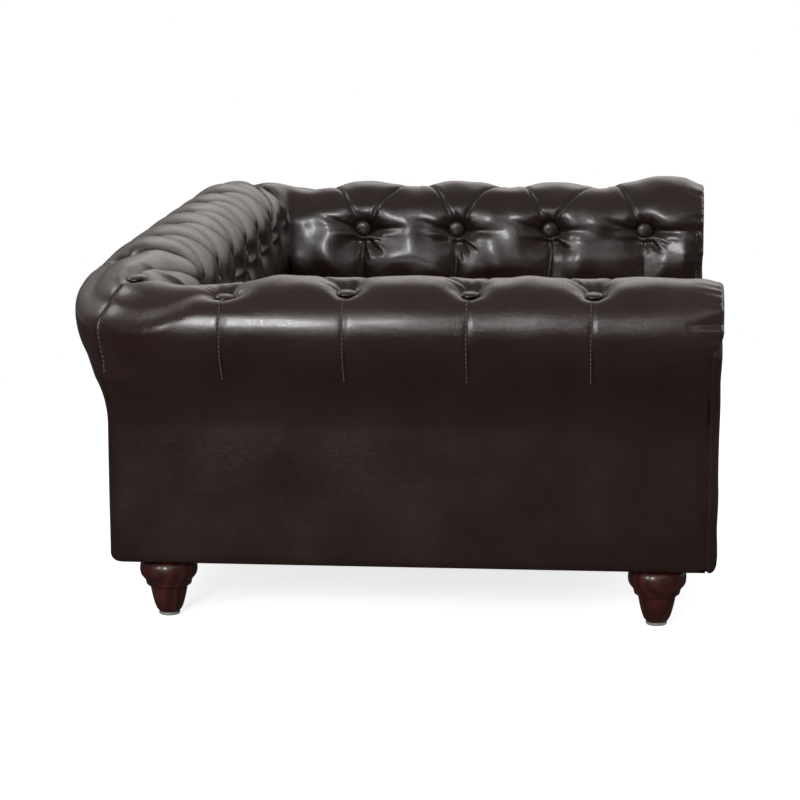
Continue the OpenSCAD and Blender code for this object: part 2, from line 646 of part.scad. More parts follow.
// Turned feet with their glides, screws and nuts
module foot(x, y) {
    bead_r = (foot_h - foot_collar_z) / 2;
    tip_r = foot_tip_d / 2;
    tip_edge = 1;
    color("#3d1612") translate([x, y, 0]) difference() {
        rotate_extrude($fn = round_fn) polygon(concat(
            [[0, glide_t], [tip_r - tip_edge, glide_t]],
            [for (k = [0:7]) [mix(tip_r, foot_neck_d / 2, pow(k / 7, 0.9)),
                mix(glide_t + tip_edge, foot_collar_z, pow(k / 7, 2))]],
            [for (a = [-75:15:90])
                [foot_d / 2 - bead_r + bead_r * cos(a), foot_collar_z + bead_r + bead_r * sin(a)]],
            [[0, foot_h]]));
        translate([0, 0, screw_z]) cylinder(d = bolt_d + 2 * thread_gap, h = bolt_len, $fn = small_fn);
        cylinder(d = nail_d + 2 * thread_gap, h = glide_t + nail_len, $fn = small_fn);
    }
}
module foot_front_left() { foot(-foot_x, foot_front_y); }
module foot_front_right() { foot(foot_x, foot_front_y); }
module foot_back_left() { foot(-foot_x, foot_back_y); }
module foot_back_right() { foot(foot_x, foot_back_y); }
module at_feet() {
    for (x = [-foot_x, foot_x]) for (y = [foot_front_y, foot_back_y]) translate([x, y, 0]) children();
}
module foot_glides() {
    r = glide_d / 2;
    edge = glide_t / 3;
    color("#8d8a86") at_feet() rotate_extrude($fn = small_fn) polygon([
        [0, 0], [r - edge, 0], [r, edge], [r, glide_t],
        [nail_d / 2, glide_t], [nail_d / 2, glide_t + nail_len], [0, glide_t + nail_len]]);
}
module foot_screws() {
    color("silver") at_feet() translate([0, 0, screw_z]) cylinder(d = bolt_d, h = bolt_len, $fn = small_fn);
}
module foot_nuts() {
    color("silver") at_feet() translate([0, 0, base_z + block_h]) difference() {
        union() {
            cylinder(d = nut_flange_d, h = nut_flange_t, $fn = round_fn);
            translate([0, 0, -nut_barrel_len]) cylinder(d = nut_barrel_d, h = nut_barrel_len, $fn = small_fn);
        }
        translate([0, 0, -nut_barrel_len - 1])
            cylinder(d = bolt_d + 2 * thread_gap, h = nut_barrel_len + nut_flange_t + 2, $fn = small_fn);
    }
}

// Loose seat cushion: plan rings from the bottom to the crown, each drawn in by its own share
module cushion_cover() {
    rings = [for (c = cushion_rings) cushion_ring(c[0], c[1], c[2])];
    color("#2b2322") difference() {
        loft(rings, strip_end(len(rings[0])));
        cushion_foam();
        box([-zip_len / 2, cushion_back - cushion_wall - 1, zip_mid_z - zip_h / 2],
            [zip_len / 2, cushion_back + 1, zip_mid_z + zip_h / 2]);
    }
}
// Scale in plan, share of the side's draw, height
cushion_rings = concat(
    [[0.96, 0, 0], [0.99, 0, cushion_edge / 3], [1, 0, cushion_edge]],
    [for (k = [1:3]) [1, sin(k * 45), mix(cushion_edge, cushion_h - cushion_edge, k / 4)]],
    [[1, 0, cushion_h - cushion_edge], [0.99, 0, cushion_h - cushion_edge / 3]],
    [for (k = [0.96, 0.88, 0.72, 0.5, 0.25]) [k, 0, cushion_h + cushion_crown * (1 - k * k)]]);
function cushion_ring(scale, draw, z) =
    let (x = cushion_half - cushion_corner_r, y = cushion_half_y - cushion_corner_r)
    [for (corner = [0:3]) for (k = [0:6])
        let (sx = corner == 0 || corner == 3 ? 1 : -1, sy = corner < 2 ? 1 : -1,
            a = corner * 90 + min(k, 3) * 30,
            t = k < 4 ? 0 : (k - 3) / 4,
            from = [sx * x + cushion_corner_r * cos(a), sy * y + cushion_corner_r * sin(a)],
            next = corner == 0 ? [-x, cushion_half_y] : corner == 1 ? [-cushion_half, -y] :
                corner == 2 ? [x, -cushion_half_y] : [cushion_half, y],
            p = mix(from, next, t),
            inset = corner == 0 ? 0 : 4 * t * (1 - t) * cushion_draw * draw,
            out = corner == 1 ? [1, 0] : corner == 2 ? [0, 1] : [-1, 0])
        [scale * (p[0] + inset * out[0]), cushion_mid_y + scale * (p[1] + inset * out[1]), cushion_z + z]];
module cushion_foam() {
    color("khaki") box([cushion_wall - cushion_half, cushion_front + cushion_wall, cushion_z + cushion_wall],
        [cushion_half - cushion_wall, cushion_back - cushion_wall, cushion_z + cushion_h - cushion_wall]);
}
// The zip's tape and the two seam allowances folded in behind it
module cushion_zip() {
    y0 = cushion_back - cushion_wall;
    color("#1a1a1a") difference() {
        box([-zip_len / 2, y0, zip_mid_z - zip_h / 2], [zip_len / 2, cushion_back, zip_mid_z + zip_h / 2]);
        box([-zip_len / 2 - 1, y0 - 1, zip_mid_z - zip_h / 2 + zip_t],
            [zip_len / 2 + 1, cushion_back - zip_t, zip_mid_z + zip_h / 2 - zip_t]);
    }
}
// The slider's body, narrower at its nose, and its pull tab
module zip_slider() {
    y = cushion_back + rest_gap;
    color("goldenrod") {
        translate([slider_x, y, zip_mid_z]) rotate([-90, 0, 0]) linear_extrude(slider_t)
            polygon([[-slider_len / 2, -slider_w / 3], [-slider_len / 4, -slider_w / 2],
                [slider_len / 2, -slider_w / 2], [slider_len / 2, slider_w / 2],
                [-slider_len / 4, slider_w / 2], [-slider_len / 2, slider_w / 3]]);
        box([slider_x - tab_w / 2, y, zip_mid_z - tab_len], [slider_x + tab_w / 2, y + tab_t, zip_mid_z]);
    }
}

rail_front();
rail_back();
rail_left();
rail_right();
corner_block_front_left();
corner_block_front_right();
corner_block_back_left();
corner_block_back_right();
deck_batten_left();
deck_batten_right();
seat_deck();
corner_post_left();
corner_post_right();
arm_board_front_left();
arm_board_front_right();
arm_board_rear_left();
arm_board_rear_right();
arm_rail_top_left();
arm_rail_top_right();
arm_rail_tuck_left();
arm_rail_tuck_right();
arm_rail_seat_left();
arm_rail_seat_right();
back_board_left();
back_board_middle();
back_board_right();
back_rail_top();
back_rail_tuck();
back_rail_seat();
arm_liner_left();
arm_liner_right();
back_liner();
arm_pad_left();
arm_pad_right();
back_pad();
arm_buttons_left();
arm_buttons_right();
back_buttons_row();
corner_buttons();
outside_panel_left();
outside_panel_right();
outside_panel_back();
arm_facing_left();
arm_facing_right();
front_border();
dust_cover();
foot_front_left();
foot_front_right();
foot_back_left();
foot_back_right();
foot_glides();
foot_screws();
foot_nuts();
cushion_cover();
cushion_foam();
cushion_zip();
zip_slider();
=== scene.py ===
import json
import math
from types import SimpleNamespace

import bmesh
import bpy
import numpy as np
from mathutils import Matrix, Vector


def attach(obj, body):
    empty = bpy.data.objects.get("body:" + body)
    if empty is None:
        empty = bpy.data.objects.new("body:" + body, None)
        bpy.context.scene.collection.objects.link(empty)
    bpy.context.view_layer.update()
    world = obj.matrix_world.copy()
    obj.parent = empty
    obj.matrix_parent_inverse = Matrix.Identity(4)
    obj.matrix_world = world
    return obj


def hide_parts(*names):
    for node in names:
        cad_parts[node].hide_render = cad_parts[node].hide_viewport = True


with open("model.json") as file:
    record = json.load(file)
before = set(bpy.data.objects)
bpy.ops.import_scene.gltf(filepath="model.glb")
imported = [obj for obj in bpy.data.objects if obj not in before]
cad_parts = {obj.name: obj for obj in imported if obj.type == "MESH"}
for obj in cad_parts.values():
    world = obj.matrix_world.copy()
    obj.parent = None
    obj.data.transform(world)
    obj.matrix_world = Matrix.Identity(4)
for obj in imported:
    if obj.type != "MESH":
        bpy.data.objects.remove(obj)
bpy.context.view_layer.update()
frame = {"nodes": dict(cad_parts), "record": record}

# Sizes in metres, the same as the frame's
HALF_WIDTH = 0.450
FRONT, BACK, FRAME_FRONT = -0.303, 0.303, -0.292
ARM_R, ARM_MID = 0.047, 0.282
BACK_R, BACK_MID = 0.056, 0.286
OVERHANG, FLANK_R, UNDER_R = 0.039, 0.058, 0.072
UNDER_LEAN = math.radians(36.6)
TOP_ROW_ANGLE = math.radians(117)
CORNER_R, TUCK_CORNER_R, CORNER_BUTTON = 0.116, 0.053, 0.044
CORNER_Y, CORNER_X = BACK - CORNER_R, HALF_WIDTH - CORNER_R
FOOT_H, DECK_Z, REST_GAP = 0.056, 0.126, 0.0003
PAD_T, PANEL_T, HEM_R = 0.020, 0.004, 0.008
CORNER_ARC = (CORNER_R - CORNER_BUTTON) * math.pi / 4
ARM_STRAIGHT = CORNER_Y - FRONT
ARM_TOPS = [0.116 + 0.112 * i for i in range(4)]
BACK_TOPS = [0.096 * (i - 3) for i in range(7)]
BUTTON_SINK, INNER_DROP, CORNER_DROP, FIRM_CORNER_DROP = 0.01017, 0.005, 0.0115, 0.0060
STRAIGHT_LEN = (OVERHANG - (1 - math.cos(UNDER_LEAN)) * (FLANK_R + UNDER_R)) / math.sin(UNDER_LEAN)
TUCK_Z = ARM_MID - (FLANK_R + UNDER_R) * math.sin(UNDER_LEAN) - STRAIGHT_LEN * math.cos(UNDER_LEAN)
FLANK_LEN = FLANK_R * UNDER_LEAN
PANEL_DROP = TUCK_Z - FOOT_H - HEM_R
HEM_ARC = HEM_R * math.pi / 2
PANEL_UNIT, STEP = 0.1, 0.0021
FRONT_ROLL_R, FRONT_EDGE = 0.0060, 0.0050

# How each cover is tufted: its rows of buttons and their pitch, the place of its corner button, the depths and
# reaches of its pleats at their first button, in their middle and at their second, and the size of its wrinkles
ARM = {"tops": ARM_TOPS, "inners": [t - 0.047 for t in ARM_TOPS], "pitch": 0.112, "end": ARM_STRAIGHT + CORNER_ARC,
       "lap": 0.25, "seam_end": -0.112, "depths": (0.008, 0.0026, 0.0130), "reaches": (0.017, 0.0075, 0.024),
       "slope": 0.0, "side_folds": 1.0, "inner_gathers": 0.0022, "top_gathers": 0.0005, "ripple": 0.0005}
LEFT = SimpleNamespace(seed=11, dips=0.0010, dip_shift=0.0, front_swell=0.0008, **ARM)
RIGHT = SimpleNamespace(seed=29, dips=0.0026, dip_shift=0.008, front_swell=0.0078, **ARM)
REAR = SimpleNamespace(
    seed=47, dips=0.0010, dip_shift=0.0, tops=BACK_TOPS, inners=[0.096 * (i - 2.5) for i in range(6)], pitch=0.096,
    end=CORNER_X + CORNER_ARC, lap=0.75, seam_end=-0.122, depths=(0.011, 0.0036, 0.0135),
    reaches=(0.018, 0.0095, 0.022), slope=0.0020, side_folds=0.35, inner_gathers=0.0005, top_gathers=0.0002,
    ripple=0.0002)
SIDES = (("left", 1, LEFT), ("right", -1, RIGHT))


def mix(a, b, t):
    return a + (b - a) * t


def clamp(t):
    return np.clip(t, 0, 1)


def ease(t):
    t = clamp(t)
    return t * t * (3 - 2 * t)


def bell(x, width):
    return np.exp(-(x / width) ** 2)


def unit(v):
    return v / np.linalg.norm(v, axis=1)[:, None]


def stack(*parts):
    return np.stack(np.broadcast_arrays(*parts), axis=-1)


# ---- Section of the roll: place u -> inward, up and the direction straight out of the cover

def on_hollow(t):
    angle = UNDER_LEAN * t
    return stack(OVERHANG - UNDER_R * (1 - np.cos(angle)), TUCK_Z + UNDER_R * np.sin(angle),
                 -np.cos(angle), -np.sin(angle))


def on_flank(t, mid_z):
    angle = np.pi + UNDER_LEAN * (1 - t)
    return stack(FLANK_R * (1 + np.cos(angle)), mid_z + FLANK_R * np.sin(angle), np.cos(angle), np.sin(angle))


def on_roll(angle, r, mid_z):
    return stack(r * (1 + np.cos(angle)), mid_z + r * np.sin(angle), np.cos(angle), np.sin(angle))


def on_panel(drop):
    """The outside panel straight down from the tuck line, round its hem and under."""
    turn = np.clip((drop - PANEL_DROP) / HEM_R, 0, np.pi / 2)
    under = np.maximum(0, drop - PANEL_DROP - HEM_ARC)
    return stack(OVERHANG + HEM_R * (1 - np.cos(turn)) + under,
                 TUCK_Z - np.minimum(drop, PANEL_DROP) - HEM_R * np.sin(turn), -np.cos(turn), -np.sin(turn))


def section(u, r, mid_z):
    u, r, mid_z = np.broadcast_arrays(u, r, mid_z)
    bit = lambda start: clamp(u - start)
    low, flank_foot = on_hollow(np.ones_like(u)), on_flank(np.zeros_like(u), mid_z)
    choices = [
        (u < 0, on_panel(np.maximum(0, -u * PANEL_UNIT))),
        (u < 1, on_hollow(bit(0))),
        (u < 2, mix(low, flank_foot, bit(1)[..., None])),
        (u < 3, on_flank(bit(2), mid_z)),
        (u < 4, on_roll(mix(np.pi, TOP_ROW_ANGLE, bit(3)), r, mid_z)),
        (u < 5, on_roll(mix(TOP_ROW_ANGLE, 0, bit(4)), r, mid_z))]
    out = stack(2 * r, mix(mid_z, DECK_Z + REST_GAP, bit(5)), 1.0, 0.0)
    for test, value in reversed(choices):
        out = np.where(test[..., None], value, out)
    return out


def along(u, r, mid_z):
    """Distance from the top row of buttons, positive towards the inner face."""
    u, r, mid_z = np.broadcast_arrays(u, r, mid_z)
    outer = r * (np.pi - TOP_ROW_ANGLE)
    q = np.where(u < 3, -outer - (3 - np.maximum(u, 0)) * FLANK_LEN, (u - 4) * outer)
    q = np.where(u < 0, -outer - 3 * FLANK_LEN + u * PANEL_UNIT, q)
    q = np.where(u > 4, (u - 4) * r * TOP_ROW_ANGLE, q)
    return np.where(u > 5, r * TOP_ROW_ANGLE + (u - 5) * (mid_z - DECK_Z), q)


def corner_point(a, u, t):
    whole = np.where(u < 3, mix(TUCK_CORNER_R, CORNER_R, ease(u / 3)), CORNER_R)
    rho = np.maximum(0.003, whole - a)
    run = CORNER_R - a - rho
    length = t * (run + rho * np.pi / 4)
    angle = np.maximum(0, length - run) / rho
    y = np.where(length < run, CORNER_Y + length, BACK - a - rho + rho * np.sin(angle))
    return -HALF_WIDTH + a + rho * (1 - np.cos(angle)), y


# ---- Relief of the tufted cover, as distance out of the full shape

def waves(p, q, seed, longest, shortest, size, count=14):
    """A sum of even waves in random directions, with lengths between the shortest and the longest."""
    rng = np.random.default_rng(seed)
    out = np.zeros(np.broadcast(p, q).shape)
    for _ in range(count):
        turn, phase = rng.uniform(0, 2 * np.pi, 2)
        k = 2 * np.pi / rng.uniform(shortest, longest)
        out += np.sin((p * np.cos(turn) + q * np.sin(turn)) * k + phase)
    return out * size / math.sqrt(count / 2)


def pleat_profile(x):
    x = clamp(x)
    return 1 - np.sqrt(1 - (1 - x) ** 2)


def to_line(p, q, start, end):
    """Share of the way along a line, distance from it, and distance to its one side."""
    dp, dq = end[0] - start[0], end[1] - start[1]
    length = np.hypot(dp, dq)
    share = clamp(((p - start[0]) * dp + (q - start[1]) * dq) / length ** 2)
    gap = np.hypot(p - start[0] - share * dp, q - start[1] - share * dq)
    side = ((p - start[0]) * dq - (q - start[1]) * dp) / length
    return share, gap, side


def corner_fall(gap, on_left):
    """How far the crest lies lower at this distance from a mitred corner; the left one is packed flatter."""
    return np.where(on_left, CORNER_DROP, FIRM_CORNER_DROP) * ease((0.16 - gap) / 0.13)


def is_left(cover, p):
    return p < 0 if cover is REAR else cover is LEFT


class Relief:
    """Gathers pits, pleats, folds and wrinkles at points (p, q) of a cover, and a mask of their creases for painted
    shade.
    """

    def __init__(self, p, q):
        self.p, self.q = p, q
        self.dip = np.zeros(np.broadcast(p, q).shape)
        self.bowl, self.lift, self.fold = np.zeros_like(self.dip), np.zeros_like(self.dip), np.zeros_like(self.dip)

    def sink(self, depth):
        """Deepens the dip to this depth, softly where both are alike."""
        soft = 0.0012
        both = np.exp(-np.abs(self.dip - depth) / soft) * clamp(np.minimum(self.dip, depth) / soft)
        self.dip = np.maximum(self.dip, depth) + 0.5 * soft * both

    def hollow(self, depth):
        """Pits and folds add up softly, so that no ridge is left between two of them."""
        self.bowl += depth ** 3

    def total(self):
        self.sink(np.cbrt(self.bowl))
        return self.dip

    # Closeness to folds, pits and seams, by which the leather paints shade into them.
    def mark_fold_shade(self, gap, width, mask=1.0):
        self.fold = np.maximum(self.fold, bell(gap, width) * mask)

    def pit(self, at, depth, outer, inner, dark=0.0125):
        """A button's pit: a steep wall on the outer side of the roll, a long slope on the inner."""
        dp, dq = self.p - at[0], self.q - at[1]
        gap = np.hypot(dp, dq)
        lean, angle = 0.5 + 0.5 * dq / np.maximum(gap, 1e-6), np.arctan2(dq, dp)
        uneven = 1 + 0.10 * np.sin(3 * angle + at[0] * 90) + 0.07 * np.sin(5 * angle + at[0] * 230)
        wide = mix(outer[0], inner[0], lean) * mix(1, uneven, lean)
        self.hollow(depth * np.exp(-(gap / wide) ** mix(outer[1], inner[1], lean)))
        # dark is the width of the ring of painted shade round the button.
        self.mark_fold_shade(gap, dark)

    def pleat(self, start, end, depths, reaches, lap=0.0, mask=1.0, slope=0.0):
        """A pleat that is narrow in its middle and opens out at its buttons; lap tips it to one side."""
        share, gap, side = to_line(self.p, self.q, start, end)
        swell = np.abs(2 * share - 1)
        depth = mix(depths[1], mix(depths[0], depths[2], share), swell ** 4)
        reach = mix(reaches[1], mix(reaches[0], reaches[2], share), swell ** 3)
        self.sink(depth * pleat_profile(gap / (reach * (1 + lap * np.clip(side / 0.003, -1, 1)))) * mask)
        self.lift -= (0.0012 * bell(gap, 0.0015) + slope * bell(gap, 0.013)) * mask
        self.mark_fold_shade(gap, 0.0024, mask)

    def side_fold(self, start, end, depth, above, below, lip):
        """A fold that runs out sideways from a button: sharp above, with a raised lip below."""
        share, gap, side = to_line(self.p, self.q, start, end)
        lower = -side * np.sign(end[0] - start[0]) > 0
        fade = (1 - share) ** 1.9 * bell(np.maximum(0, gap - 0.008), 0.009)
        self.hollow(depth * fade * np.where(lower, np.exp(-gap / below), np.exp(-gap / above)))
        self.lift += lip * fade * lower * bell(gap - below * 1.3, below * 0.6)
        self.mark_fold_shade(gap, 0.0028, fade)

    def seam(self, at, depth, mask):
        """A stitched seam running outwards: a shallow groove, deeper close to its button."""
        gap, run = np.abs(self.p - at[0]), np.maximum(0, at[1] - self.q)
        self.sink((depth + 0.0040 * np.exp(-run / 0.006)) * np.exp(-(gap / 0.0024) ** 1.2) * mask)
        self.lift -= 0.0006 * bell(gap, 0.0011) * mask
        self.mark_fold_shade(gap, 0.0016, mask)

    def wrinkle(self, start, end, size, width):
        """A low ridge with a dip along one side of it."""
        share, gap, side = to_line(self.p, self.q, start, end)
        fade = np.sin(np.pi * share ** 0.55) * np.exp(-np.maximum(0, gap - 2.5 * width) / width)
        self.lift += size * fade * (bell(side, width) - 0.9 * bell(side - 1.8 * width, 0.8 * width))


def gathers(relief, buttons, seed, lean, size):
    """Short wrinkles that run out of each button, most of them to one side."""
    rng = np.random.default_rng(seed)
    for p, q in buttons:
        for k in range(9):
            strong = k < 4
            angle = lean + math.radians(-30 + 19 * k if strong else 40 + 42 * (k - 3)) + rng.uniform(-0.12, 0.12)
            reach = rng.uniform(0.020, 0.032) if strong else rng.uniform(0.009, 0.017)
            height = size * (rng.uniform(0.8, 1.2) if strong else rng.uniform(0.3, 0.6))
            ends = [(p + d * math.cos(angle), q + d * math.sin(angle)) for d in (0.0085, 0.0095 + reach)]
            relief.wrinkle(*ends, height, rng.uniform(0.0017, 0.0026))


def corner_q_of(r):
    return r * (TOP_ROW_ANGLE - np.arccos((CORNER_BUTTON - r) / r))


def tufting(p, q, r, cover):
    """Relief of one cover at p along its roll and q round it, and the mask of its folds for painted shade; lap says
    which lip of a pleat is on top.
    """
    seed, pitch = cover.seed, cover.pitch
    inner_q, corner_q = r * TOP_ROW_ANGLE + INNER_DROP, corner_q_of(r)
    tops, inners = [(t, 0) for t in cover.tops], [(f, inner_q) for f in cover.inners]
    tufted = clamp((q + 0.02) / 0.03)
    relief = Relief(p + waves(p, q, seed, 0.11, 0.05, 0.0012, 6) * tufted,
                    q + waves(p, q, seed + 1, 0.11, 0.05, 0.0010, 6) * tufted)
    rng = np.random.default_rng(seed + 7)
    for top in tops:
        relief.pit(top, depth=0.0124, outer=(0.0132, 2.2), inner=(pitch * 0.135, 1.35), dark=0.0092)
    for inner in inners:
        relief.pit(inner, depth=0.0155, outer=(0.0145, 1.8), inner=(0.0165, 1.4))
    for top in tops:
        for inner in inners:
            if abs(top[0] - inner[0]) < pitch - 0.03:
                relief.pleat(top, inner, cover.depths, cover.reaches, cover.lap, slope=cover.slope)
    for number, (f, _) in enumerate(inners):
        if cover is REAR or number:
            relief.pleat((f, inner_q), (f + rng.uniform(-0.002, 0.002), inner_q + 0.17),
                         (0.012, 0.0028, 0.003), (0.025, 0.0075, 0.012), 0.15, q > inner_q)
        else:
            relief.side_fold((f, inner_q), (0.004, inner_q + 0.002), 0.010, 0.0030, 0.0060, 0.0010)
        # run, rise, depth, reach above and below, lip
        for run, rise, depth, *edges in ((-0.066, rng.uniform(-0.004, 0.005), 0.0115, 0.0036, 0.0070, 0.0022),
                                         (0.066, rng.uniform(-0.024, -0.014), 0.0115, 0.0036, 0.0070, 0.0022),
                                         (0.060, -0.004, 0.0100, 0.0030, 0.0050, 0.0018),
                                         (-0.046, 0.016, 0.0100, 0.0028, 0.0045, 0.0016)):
            relief.side_fold((f, inner_q), (f + run, inner_q + rise), depth * cover.side_folds, *edges)
    for top in tops:
        relief.seam(top, 0.0006, (q < 0) * ease((q - cover.seam_end + 0.012) / 0.03))
    for number, middle in enumerate([cover.inners[0] - pitch / 2] + [f + pitch / 2 for f in cover.inners]):
        near = clamp(1 - np.abs(p - middle) / (pitch / 2))
        rim = inner_q + 0.034 + 0.021 * (1 - near) ** 2
        relief.lift += (0.0062 if number else 0.0050) * (1 - (1 - near) ** 3.6) * bell(q - rim, 0.027)
    count = np.clip((p - cover.tops[0] - cover.dip_shift) / pitch, -0.5, len(tops) - 0.5)
    relief.lift -= cover.dips * (np.cos(2 * np.pi * count) + 0.5) * bell(q - 0.018, 0.026)
    add_corner(relief, p, q, inner_q, corner_q, cover)
    gathers(relief, inners, seed + 2, math.radians(122), cover.inner_gathers)
    gathers(relief, tops, seed + 3, math.radians(70), cover.top_gathers)
    soft = waves(p, q, seed + 4, 0.080, 0.030, cover.ripple) * tufted + waves(p, q, seed + 5, 0.24, 0.08, 0.0004)
    return relief.lift - relief.total() + soft, clamp(relief.fold)


def add_corner(relief, p, q, inner_q, corner_q, cover):
    """The mitred corner's button, pleats and seam, its filled-out inner side and its lower crest."""
    end, button, gap = cover.end, (cover.end, corner_q), cover.end - np.abs(p)
    corner = Relief(np.abs(p), q)
    corner.pit(button, depth=0.0145, outer=(0.0110, 2.6), inner=(0.0115, 1.6), dark=0.0092)
    corner.pleat(button, (end, corner_q + 0.24), (0.012, 0.0070, 0.006), (0.030, 0.024, 0.032), 0, q > corner_q)
    if cover is REAR:
        corner.pleat(button, (cover.inners[-1], inner_q), (0.011, 0.0036, 0.0115), cover.reaches, -cover.lap,
                     slope=cover.slope)
    corner.seam(button, 0.0010, (q < corner_q) * ease((q - cover.seam_end + 0.03) / 0.03))
    down = (q - inner_q) / 0.048
    fill = np.where(down < 1, ease(down), mix(1, 0.35, ease(down - 1)))
    corner.lift += 0.017 * fill * bell(gap, 0.034)
    reach = mix(0.036, 0.064, ease((0.075 - end + np.abs(p)) / 0.055))
    fall = corner_fall(gap, is_left(cover, p))
    corner.lift -= fall * ease((q + reach) / 0.034) * ease((0.105 - q) / 0.05)
    relief.sink(corner.total())
    relief.lift += corner.lift
    relief.fold = np.maximum(relief.fold, corner.fold)


# ---- Covers of the arms and of the back

def arm_section(t):
    """Radius and height of the arm's roll; at the mitre, where t is 1, it is halfway to the back's."""
    return mix(ARM_R, (ARM_R + BACK_R) / 2, ease(t)), mix(ARM_MID, (ARM_MID + BACK_MID) / 2, ease(t))


def back_section(t):
    return mix(BACK_R, (ARM_R + BACK_R) / 2, ease(t)), mix(BACK_MID, (ARM_MID + BACK_MID) / 2, ease(t))


def moved_out(s, out):
    """Points of a section, moved straight out of the cover."""
    return s[..., 0] + s[..., 2] * out, s[..., 1] + s[..., 3] * out


def tufted_section(u, r, mid_z, pattern, cover):
    """The section at u, its distance round the roll, and its relief, which fades out over the outside panel."""
    q = along(u, r, mid_z)
    out, fold = tufting(pattern, q, r, cover)
    fade = clamp(u + 1) ** 0.5 * (u > -PANEL_DROP / PANEL_UNIT)
    return section(u, r, mid_z), q, out * np.where(u < 1, fade * mix(0.35, 1, clamp(u)), 1), fold


def over_facing(u):
    """How far the roll's cover laps over the arm's front at place u: full on the roll, none below it."""
    return ease((u - 2.25) / 0.9) * np.clip((5.9 - u) / 0.7, 0.03, 1)


def arm_place(p, t, a, u, z, y=None):
    """Points of the left arm: straight for t = 0, and from there round the corner to the mitre."""
    if y is None:
        y = np.maximum(FRONT + p, FRAME_FRONT)
    corner_x, corner_y = corner_point(a, u, t)
    return stack(np.where(t > 0, corner_x, -HALF_WIDTH + a), np.where(t > 0, corner_y, y), z)


def back_place(p, t, a, u, z):
    corner_x, corner_y = corner_point(a, u, t)
    way = np.where(p < 0, -1, 1)
    return stack(np.where(t > 0, (-HALF_WIDTH + BACK - corner_y) * -way, p + 0 * a),
                 np.where(t > 0, BACK - HALF_WIDTH - corner_x, BACK - a), z)


def arm_skin(p, t, u, wrap, cover):
    """Points, the fold mask for painted shade, and cloth coordinates of an arm's cover, as the left arm.

    wrap turns it over the front edge: 0 to 1 round it, then in behind the facing.
    """
    pattern = p + t * CORNER_ARC
    s, q, out, fold = tufted_section(u, *arm_section(t), pattern, cover)
    swell = bell(pattern - 0.042, 0.040) * bell(q - 0.022, 0.042)
    out = out + cover.front_swell * swell
    near_front = clamp(1 - (pattern - FRONT_EDGE) / 0.016)
    out = out * (1 - 0.55 * near_front) - 0.0022 * near_front ** 2
    # radial gathers where the cover turns over the scroll
    on_scroll = clamp((u - 1.6) / 1.0) * clamp((5.6 - u) / 0.5)
    comb = np.cos(2 * np.pi * (q / 0.0135 + 0.35 * np.sin(q / 0.011)))
    gather = on_scroll * 0.0015 * (np.abs(comb) ** 1.5 * np.sign(comb) - 0.3)
    reach = clamp(1 - (pattern - FRONT_EDGE) / 0.030) ** 2
    out = out + gather * reach * (0.35 + 0.65 * clamp(wrap))
    # one deeper tuck at the front, under the roll's crest
    share, gap, side = to_line(pattern, q, (0.0, -0.038), (0.034, -0.041))
    out = out - 0.0055 * (1 - share) * np.exp(-gap / np.where(side > 0, 0.0022, 0.0050)) * on_scroll
    over = over_facing(u)
    edge_r = mix(0.0030, FRONT_ROLL_R, over)
    turn, behind = clamp(wrap) * np.pi / 2, np.maximum(0, wrap - 1)
    out = out - edge_r * (1 - np.cos(turn)) - 0.006 * behind
    y = FRONT + p - edge_r * np.sin(turn) + mix(0.0005, 0.0080, over) * behind
    y = y + 0.0072 * (1 - over) * clamp(1 - (p - FRONT_EDGE) / 0.03)
    a, z = moved_out(s, out)
    return arm_place(p, t, a, u, z, y), fold, stack(pattern + 0 * u, q)


def back_skin(p, t, u, wrap, cover):
    pattern = p + np.where(p < 0, -1, 1) * t * CORNER_ARC
    s, q, out, fold = tufted_section(u, *back_section(t), pattern, cover)
    a, z = moved_out(s, out)
    return back_place(p, t, a, u, z), fold, stack(pattern + 0 * u, q)


# ---- Meshes

def in_scene(obj):
    bpy.context.scene.collection.objects.link(obj)
    return obj


def mesh_piece(name, verts, faces, smooth=True, weld=0.0):
    """A new piece with its faces turned outwards; weld joins points that lie closer together than this."""
    mesh = bpy.data.meshes.new(name)
    mesh.from_pydata([tuple(v) for v in verts], [], [tuple(f) for f in faces])
    work = bmesh.new()
    work.from_mesh(mesh)
    if weld:
        bmesh.ops.remove_doubles(work, verts=work.verts, dist=weld)
    bmesh.ops.recalc_face_normals(work, faces=work.faces)
    work.to_mesh(mesh)
    work.free()
    if smooth:
        mesh.shade_smooth()
    return in_scene(bpy.data.objects.new(name, mesh))


def wall(low, high, around):
    """Faces between two closed rings of points that start at low and at high."""
    return [(low + i, low + (i + 1) % around, high + (i + 1) % around, high + i) for i in range(around)]


def walls(count, around):
    return [face for k in range(count - 1) for face in wall(k * around, (k + 1) * around, around)]


def closed_rings(name, rings, smooth=True, keep=True):
    """A solid through rings of points, closed at its first and at its last; a pattern shape isn't kept in view."""
    around, last = len(rings[0]), (len(rings) - 1) * len(rings[0])
    faces = walls(len(rings), around) + [range(around)[::-1], range(last, last + around)]
    obj = mesh_piece(name, [point for ring in rings for point in ring], faces, smooth)
    if not keep:
        bpy.context.scene.collection.objects.unlink(obj)
    return obj


def double_sheet(name, first, second, smooth=True):
    """Two grids of points, joined round their rim."""
    columns, rows = first.shape[:2]
    off = columns * rows
    faces = []
    for i in range(columns - 1):
        for j in range(rows - 1):
            k = i * rows + j
            faces += [(k, k + rows, k + rows + 1, k + 1), (off + k, off + k + 1, off + k + rows + 1, off + k + rows)]
    rim = [i * rows for i in range(columns)] + [(columns - 1) * rows + j for j in range(1, rows)]
    rim += [i * rows + rows - 1 for i in range(columns - 2, -1, -1)] + list(range(rows - 2, 0, -1))
    faces += [(a, b, off + b, off + a) for a, b in zip(rim, rim[1:] + rim[:1])]
    return mesh_piece(name, np.concatenate([first.reshape(-1, 3), second.reshape(-1, 3)]), faces, smooth)


def apply_modifiers(obj):
    made = bpy.data.meshes.new_from_object(obj.evaluated_get(bpy.context.evaluated_depsgraph_get()))
    obj.modifiers.clear()
    old, obj.data = obj.data, made
    bpy.data.meshes.remove(old)


